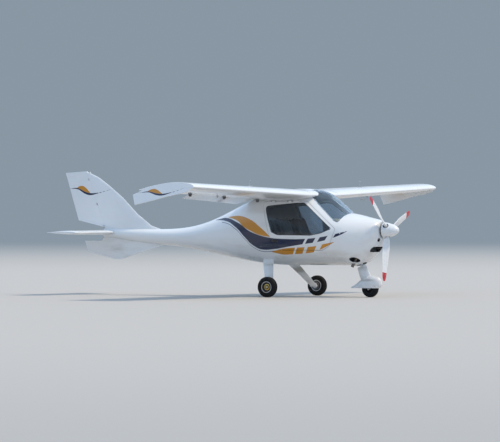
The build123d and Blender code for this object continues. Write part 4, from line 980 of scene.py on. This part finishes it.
def with_modifier(piece, kind, **settings):
    """Puts the result of one modifier in place of a piece's mesh, and gives each vertex's outward normal."""
    step = piece.modifiers.new(kind.lower(), kind)
    for name, value in settings.items():
        setattr(step, name, value)
    mesh = evaluated(piece)
    piece.modifiers.clear()
    piece.data = mesh
    return [vertex.normal.copy() for vertex in mesh.vertices]


shape = bmesh.new()
shape.from_mesh(cad_pieces["seat_cushions"].data)
bmesh.ops.delete(shape, geom=[v for v in shape.verts if v.co.y < 0], context="VERTS")
bmesh.ops.remove_doubles(shape, verts=shape.verts, dist=1e-5)
mesh = bpy.data.meshes.new("seat_pads")
shape.to_mesh(mesh)
shape.free()
pads = place("seat_pads", mesh)
outward = with_modifier(pads, "REMESH", mode="VOXEL", voxel_size=PAD_VOXEL)
for vertex, normal in zip(pads.data.vertices, outward):
    vertex.co -= normal * PAD_SHRINK
pads.data.update()
start = [vertex.co.copy() for vertex in pads.data.vertices]
cloth = pads.modifiers.new("cloth", "CLOTH")
cloth.settings.use_pressure = True
cloth.settings.uniform_pressure_force = PRESSURE
cloth.settings.effector_weights.gravity = 0.0
for number in range(1, SWELL_FRAMES + 1):
    scene.frame_set(number)
swollen = evaluated(pads)
pads.modifiers.clear()
for vertex, was, normal, moved in zip(pads.data.vertices, start, outward, swollen.vertices):
    most = SWELL if normal.dot(FORWARD_AND_UP) > 0.3 else EDGE_SWELL
    step = moved.co - was
    vertex.co = was + step * min(1.0, most / max(step.length, 1e-9))
scene.frame_set(1)
outward = with_modifier(pads, "SUBSURF", levels=1)
for vertex, normal in zip(pads.data.vertices, outward):
    station, y, z = NOSE_X - vertex.co.x, vertex.co.y, vertex.co.z
    lines = [abs(y - seam) for seam in SEAM_Y]
    if SEAM_Y[0] < y < SEAM_Y[1]:
        on_back = station > BACK_FOOT + (z - BACK_FOOT_HEIGHT) * BACK_LEAN
        lines += [abs((z if on_back else station) - seam)
                  for seam in (BACK_SEAMS if on_back else SQUAB_SEAMS)]
    vertex.co -= normal * SEAM_DEPTH * sum(exp(-(line / SEAM_WIDTH) ** 2) for line in lines)
port_pads = [v.co.copy() for v in pads.data.vertices], [list(p.vertices) for p in pads.data.polygons]
bpy.data.objects.remove(pads)

seat_cloth, net = material("seat_cloth", Sheen_Weight=0.35, Sheen_Roughness=0.5)
heather = net.mix(net.patches(420.0, 2.0, 0.35, 0.65), (0.055, 0.062, 0.078), (0.16, 0.17, 0.19))
weave = net.math("MULTIPLY_ADD", net.noise(700.0, 1.0, (1, 0.25, 1)), 0.5,
                 net.noise(700.0, 1.0, (0.25, 1, 0.25)))
net.shade(Base_Color=net.mix(net.patches(9.0, 3.0, 0.45, 0.75, 0.0, 0.35), heather, (0.20, 0.20, 0.20)),
          Roughness=net.patches(30.0, 2.0, 0.3, 0.7, 0.8, 0.95), Normal=net.bump(weave, 0.0006, 0.6))
pads = body_piece("seat_pads", pair(port_pads), "airframe", seat_cloth, sharp=180)
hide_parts("seat_cushions")

# Seat harness
# Grey webbing over each backrest and across each squab, to a steel buckle with a red release.
WEBBING_WIDTH, WEBBING_THICKNESS, WEBBING_LIFT = 0.046, 0.0018, 0.0035
BUCKLE_STATION, BUCKLE_Y, LINE_TOP = 1.575, 0.288, 1.1
webbing, net = material("webbing")
ribs = net.noise(900.0, 1.0, (1, 1, 0.15))
net.shade(Base_Color=net.mix(net.ramp(ribs, 0.4, 0.6), (0.10, 0.10, 0.11), (0.17, 0.17, 0.18)),
          Roughness=net.patches(25.0, 2.0, 0.3, 0.7, 0.65, 0.85), Normal=net.bump(ribs, 0.0004, 0.6))
pad_tree = BVHTree.FromPolygons(*port_pads)


def strap(path, steps=26):
    """Webbing laid on the pads under a path of (start of the line down to them, its direction) rows."""
    met = []
    for k in range(steps + 1):
        t = k / steps * (len(path) - 1)
        i = min(int(t), len(path) - 2)
        start, way = (path[i][j].lerp(path[i + 1][j], t - i) for j in (0, 1))
        spot, normal, _, _ = pad_tree.ray_cast(start, way.normalized())
        if spot is not None:
            met.append((spot, normal))
    centres = [spot for spot, _ in met]
    for _ in range(3):
        middle = [(a + b + c) / 3 for a, b, c in zip(centres, centres[1:], centres[2:])]
        centres[1:-1] = [m if (m - c).dot(n) > 0 else c for m, c, (_, n) in zip(middle, centres[1:], met[1:])]
    verts, faces = [], []
    for k, (centre, (_, normal)) in enumerate(zip(centres, met)):
        along = (centres[min(k + 1, len(centres) - 1)] - centres[max(k - 1, 0)]).normalized()
        side = along.cross(normal).normalized() * (WEBBING_WIDTH / 2)
        up = side.cross(along).normalized()
        low = centre + up * WEBBING_LIFT
        high = low + up * WEBBING_THICKNESS
        verts += [low - side, low + side, high + side, high - side]
    for k in range(len(met) - 1):
        faces += [[4 * k + a, 4 * k + b, 4 * k + b + 4, 4 * k + a + 4]
                  for a, b in ((0, 1), (1, 2), (2, 3), (3, 0))]
    return verts, faces + [[3, 2, 1, 0], [len(verts) - 4 + j for j in range(4)]]


back_way, squab_way = Vector((-1, 0, -0.45)), Vector((-0.12, 0, -1))
straps = [strap([(at(1.60, top_y, 1.40), back_way), (at(1.40, (top_y + low_y) / 2, 1.22), back_way),
                 (at(1.36, low_y, 1.02), back_way)]) for top_y, low_y in ((0.215, 0.262), (0.360, 0.314))]
straps += [strap([(at(1.640, edge_y, LINE_TOP), squab_way),
                  (at(1.600, (edge_y + BUCKLE_Y) / 2, LINE_TOP), squab_way),
                  (at(BUCKLE_STATION, BUCKLE_Y + overlap, LINE_TOP), squab_way)], 14)
           for edge_y, overlap in ((0.128, -0.018), (0.446, 0.018))]
body_piece("seat_harness", pair(*straps), "airframe", webbing, sharp=50)
spot, normal, _, _ = pad_tree.ray_cast(at(1.572, BUCKLE_Y, LINE_TOP), squab_way)
ahead = PORT.cross(normal).normalized()
buckle = [spot + normal * 0.006 + PORT * (0.028 * a) + ahead * (0.022 * b) for a, b in
          ((-1, -0.7), (-0.7, -1), (0.7, -1), (1, -0.7), (1, 0.7), (0.7, 1), (-0.7, 1), (-1, 0.7))]
body_piece("harness_buckles", pair(slab(buckle, 0.012, 0.003, normal)), "airframe", steel)
press = turned([(0.017, 0.011), (0.020, 0.011), (0.022, 0.009), (0.022, 0)], spot, normal, 24)
body_piece("harness_releases", pair(press), "airframe", plastic("release_red", (0.45, 0.03, 0.02), 0.4))

# Instrument panel
# A black moulding under a pale cover, with round dials before each seat, two plain sets in the middle and a
# row of switches below.
DIALS = [(0.17, 1.185, 0.036), (0.26, 1.190, 0.040), (0.355, 1.185, 0.036), (0.17, 1.095, 0.036),
         (0.26, 1.095, 0.040), (0.355, 1.095, 0.036), (-0.20, 1.180, 0.036), (-0.30, 1.180, 0.036),
         (-0.20, 1.095, 0.028), (-0.275, 1.095, 0.028)]
SET_HEIGHTS, SWITCH_HEIGHT, SWITCHES = (1.195, 1.145), 1.03, 9
COVER_SLOPE, COVER_FRONT = 0.2296, (NOSE_X - 1.120, 1.262)
BLACK_MOULDING, PALE_COVER = (0.05, 0.05, 0.055), (0.50, 0.46, 0.38)
cover, net = material("panel_cover")
x, _, z = net.axes()
above = net.minus(net.math("MULTIPLY_ADD", x, COVER_SLOPE, z), COVER_SLOPE * COVER_FRONT[0] + COVER_FRONT[1])
net.shade(Base_Color=net.mix(net.ramp(above, -0.012, -0.008), BLACK_MOULDING, PALE_COVER),
          Roughness=net.patches(24.0, 2.0, 0.3, 0.7, 0.5, 0.7),
          Normal=net.bump(net.noise(600.0), 0.0004, 0.5))
dress(cad_pieces["instrument_panel"], cover)


def on_panel(y, z):
    """What skin gives on the panel's face."""
    return skin(["instrument_panel"], at(1.6, y, z), AHEAD)


def mark(spot, out, angle, outline, thickness):
    """A flat mark on a dial. Its outline is (outwards from the middle, sideways) at the angle."""
    side, up = frame_of(out)
    way, across = side * cos(angle) + up * sin(angle), up * cos(angle) - side * sin(angle)
    return slab([spot + way * r + across * w for r, w in outline], thickness)


bezels, faces_of_dials, marks = [], [], []
for y, z, radius in DIALS:
    spot, out = on_panel(y, z)
    bezel = [(0, radius + 0.004), (0.004, radius + 0.004), (0.006, radius + 0.001), (0.006, radius - 0.003),
             (0.002, radius - 0.004), (0, radius - 0.004)]
    face = [(0.0005, radius - 0.003), (0.0015, radius - 0.004), (0.0015, 0)]
    bezels.append(turned(bezel, spot, out, 40))
    faces_of_dials.append(turned(face, spot, out, 40))
    inner, outer = radius - 0.012, radius - 0.006
    tick = [(inner, -0.0007), (outer, -0.0007), (outer, 0.0007), (inner, 0.0007)]
    pointer = [(-0.006, -0.0012), (inner, -0.0004), (inner, 0.0004), (-0.006, 0.0012)]
    marks += [mark(spot + out * 0.0014, out, radians(30 * k), tick, 0.0005) for k in range(12)]
    marks.append(mark(spot + out * 0.002, out, radians(140 + 900 * y), pointer, 0.0006))
for z in SET_HEIGHTS:
    spot, out = on_panel(0, z)
    bezels.append(plate_on(spot + out * 0.001, out, PORT, up_skin(out, PORT), 0.078, 0.021, 0.006, 0.005))
    for y in (-0.062, 0.062):
        for profile in ([(0.006, 0.0085), (0.016, 0.0075), (0.018, 0.005), (0.018, 0)],
                        [(0.006, 0.0095), (0.0075, 0.0095), (0.0075, 0.008)]):
            bezels.append(turned(profile, spot + PORT * y, out, 24))
for k in range(SWITCHES):
    spot, out = on_panel(-0.12 + 0.03 * k, SWITCH_HEIGHT)
    bezels.append(turned([(0, 0.007), (0.003, 0.007), (0.004, 0.005), (0.004, 0)], spot, out, 16))
    marks.append(bar([spot + out * 0.003, spot + out * 0.013 + UP * (0.005 if k % 3 else -0.005)],
                     [0.002, 0.0028], 8))
body_piece("panel_bezels", joined(*bezels), "airframe", black_plastic)
body_piece("dial_faces", joined(*faces_of_dials), "airframe",
           plastic("dial_black", (0.012, 0.012, 0.013), 0.35))
body_piece("dial_marks", joined(*marks), "airframe", plastic("dial_white", (0.72, 0.72, 0.68), 0.5), sharp=0)

# Stick grips, boots and pedal sleeves
# Ribbed rubber grips and bellows on the two control sticks, and ribbed sleeves on the pedal bars.
GRIP_FOOT, GRIP_TOP = at(1.225, 0.285, 0.800), at(1.240, 0.285, 0.905)
BOOT_FOOT, BOOT_DROP, STICK_LEAN = at(1.180, 0.285, 0.654), 0.026, Vector((-0.045, 0, 0.176)).normalized()
reach = (GRIP_TOP - GRIP_FOOT).length
grip = [(0.0, 0.012), (0.002, 0.0175)]
for k in range(7):
    grip += [(0.008 + 0.013 * k, 0.0178), (0.014 + 0.013 * k, 0.0192 + 0.001 * sin(k))]
grip += [(reach - 0.002, 0.0185), (reach + 0.003, 0.013), (reach + 0.004, 0)]
boot = [(-0.002, 0.044), (0.002, 0.045)]
for k in range(5):
    boot += [(0.006 + 0.012 * k, 0.040 - 0.006 * k), (0.012 + 0.012 * k, 0.035 - 0.006 * k)]
boot += [(0.072, 0.0105), (0.076, 0.0095)]
stick = [turned(grip, GRIP_FOOT, GRIP_TOP - GRIP_FOOT, 28),
         turned(boot, BOOT_FOOT - STICK_LEAN * BOOT_DROP, STICK_LEAN, 32)]
body_piece("stick_grips", pair(*stick), "airframe", tyre_rubber)
sleeve = [(-0.040, 0.0101)]
for k in range(8):
    sleeve += [(-0.038 + 0.010 * k, 0.0125), (-0.033 + 0.010 * k, 0.0112)]
sleeve += [(0.040, 0.0125), (0.041, 0.0101)]
body_piece("pedal_sleeves", pair(*[turned(sleeve, at(0.935, y, 0.740), PORT, 24) for y in (0.190, 0.330)]),
           "airframe", tyre_rubber)

# Console levers
# The throttle and the brake lever on the console between the seats, each on a plate and with its own knob.
CONSOLE_TOP = 0.790
PLATE_OUTLINE = ((-1, -0.6), (-0.8, -1), (0.8, -1), (1, -0.6), (1, 0.6), (0.8, 1), (-0.8, 1), (-1, 0.6))
KNOB = [(-0.004, 0.006), (0.0, 0.011), (0.010, 0.0145), (0.020, 0.012), (0.024, 0.006), (0.025, 0)]
levers, knobs = [], []
for y, station, tall in ((0.030, 1.240, 0.085), (-0.030, 1.300, 0.070)):
    foot = at(station, y, CONSOLE_TOP)
    crown = foot + Vector((0.022, 0, tall))
    levers.append(slab([foot + Vector((0.050 * a, 0.017 * b, -0.001))
                        for a, b in PLATE_OUTLINE], 0.004, 0.001))
    levers.append(bar([foot + UP * 0.001, foot + Vector((0.004, 0, tall * 0.5)), crown], 0.004, 12))
    knobs.append(turned(KNOB, crown, Vector((0.3, 0, 1)), 24))
body_piece("console_levers", joined(*levers), "airframe", dark_steel)
body_piece("console_knobs", joined(*knobs), "airframe", black_plastic)
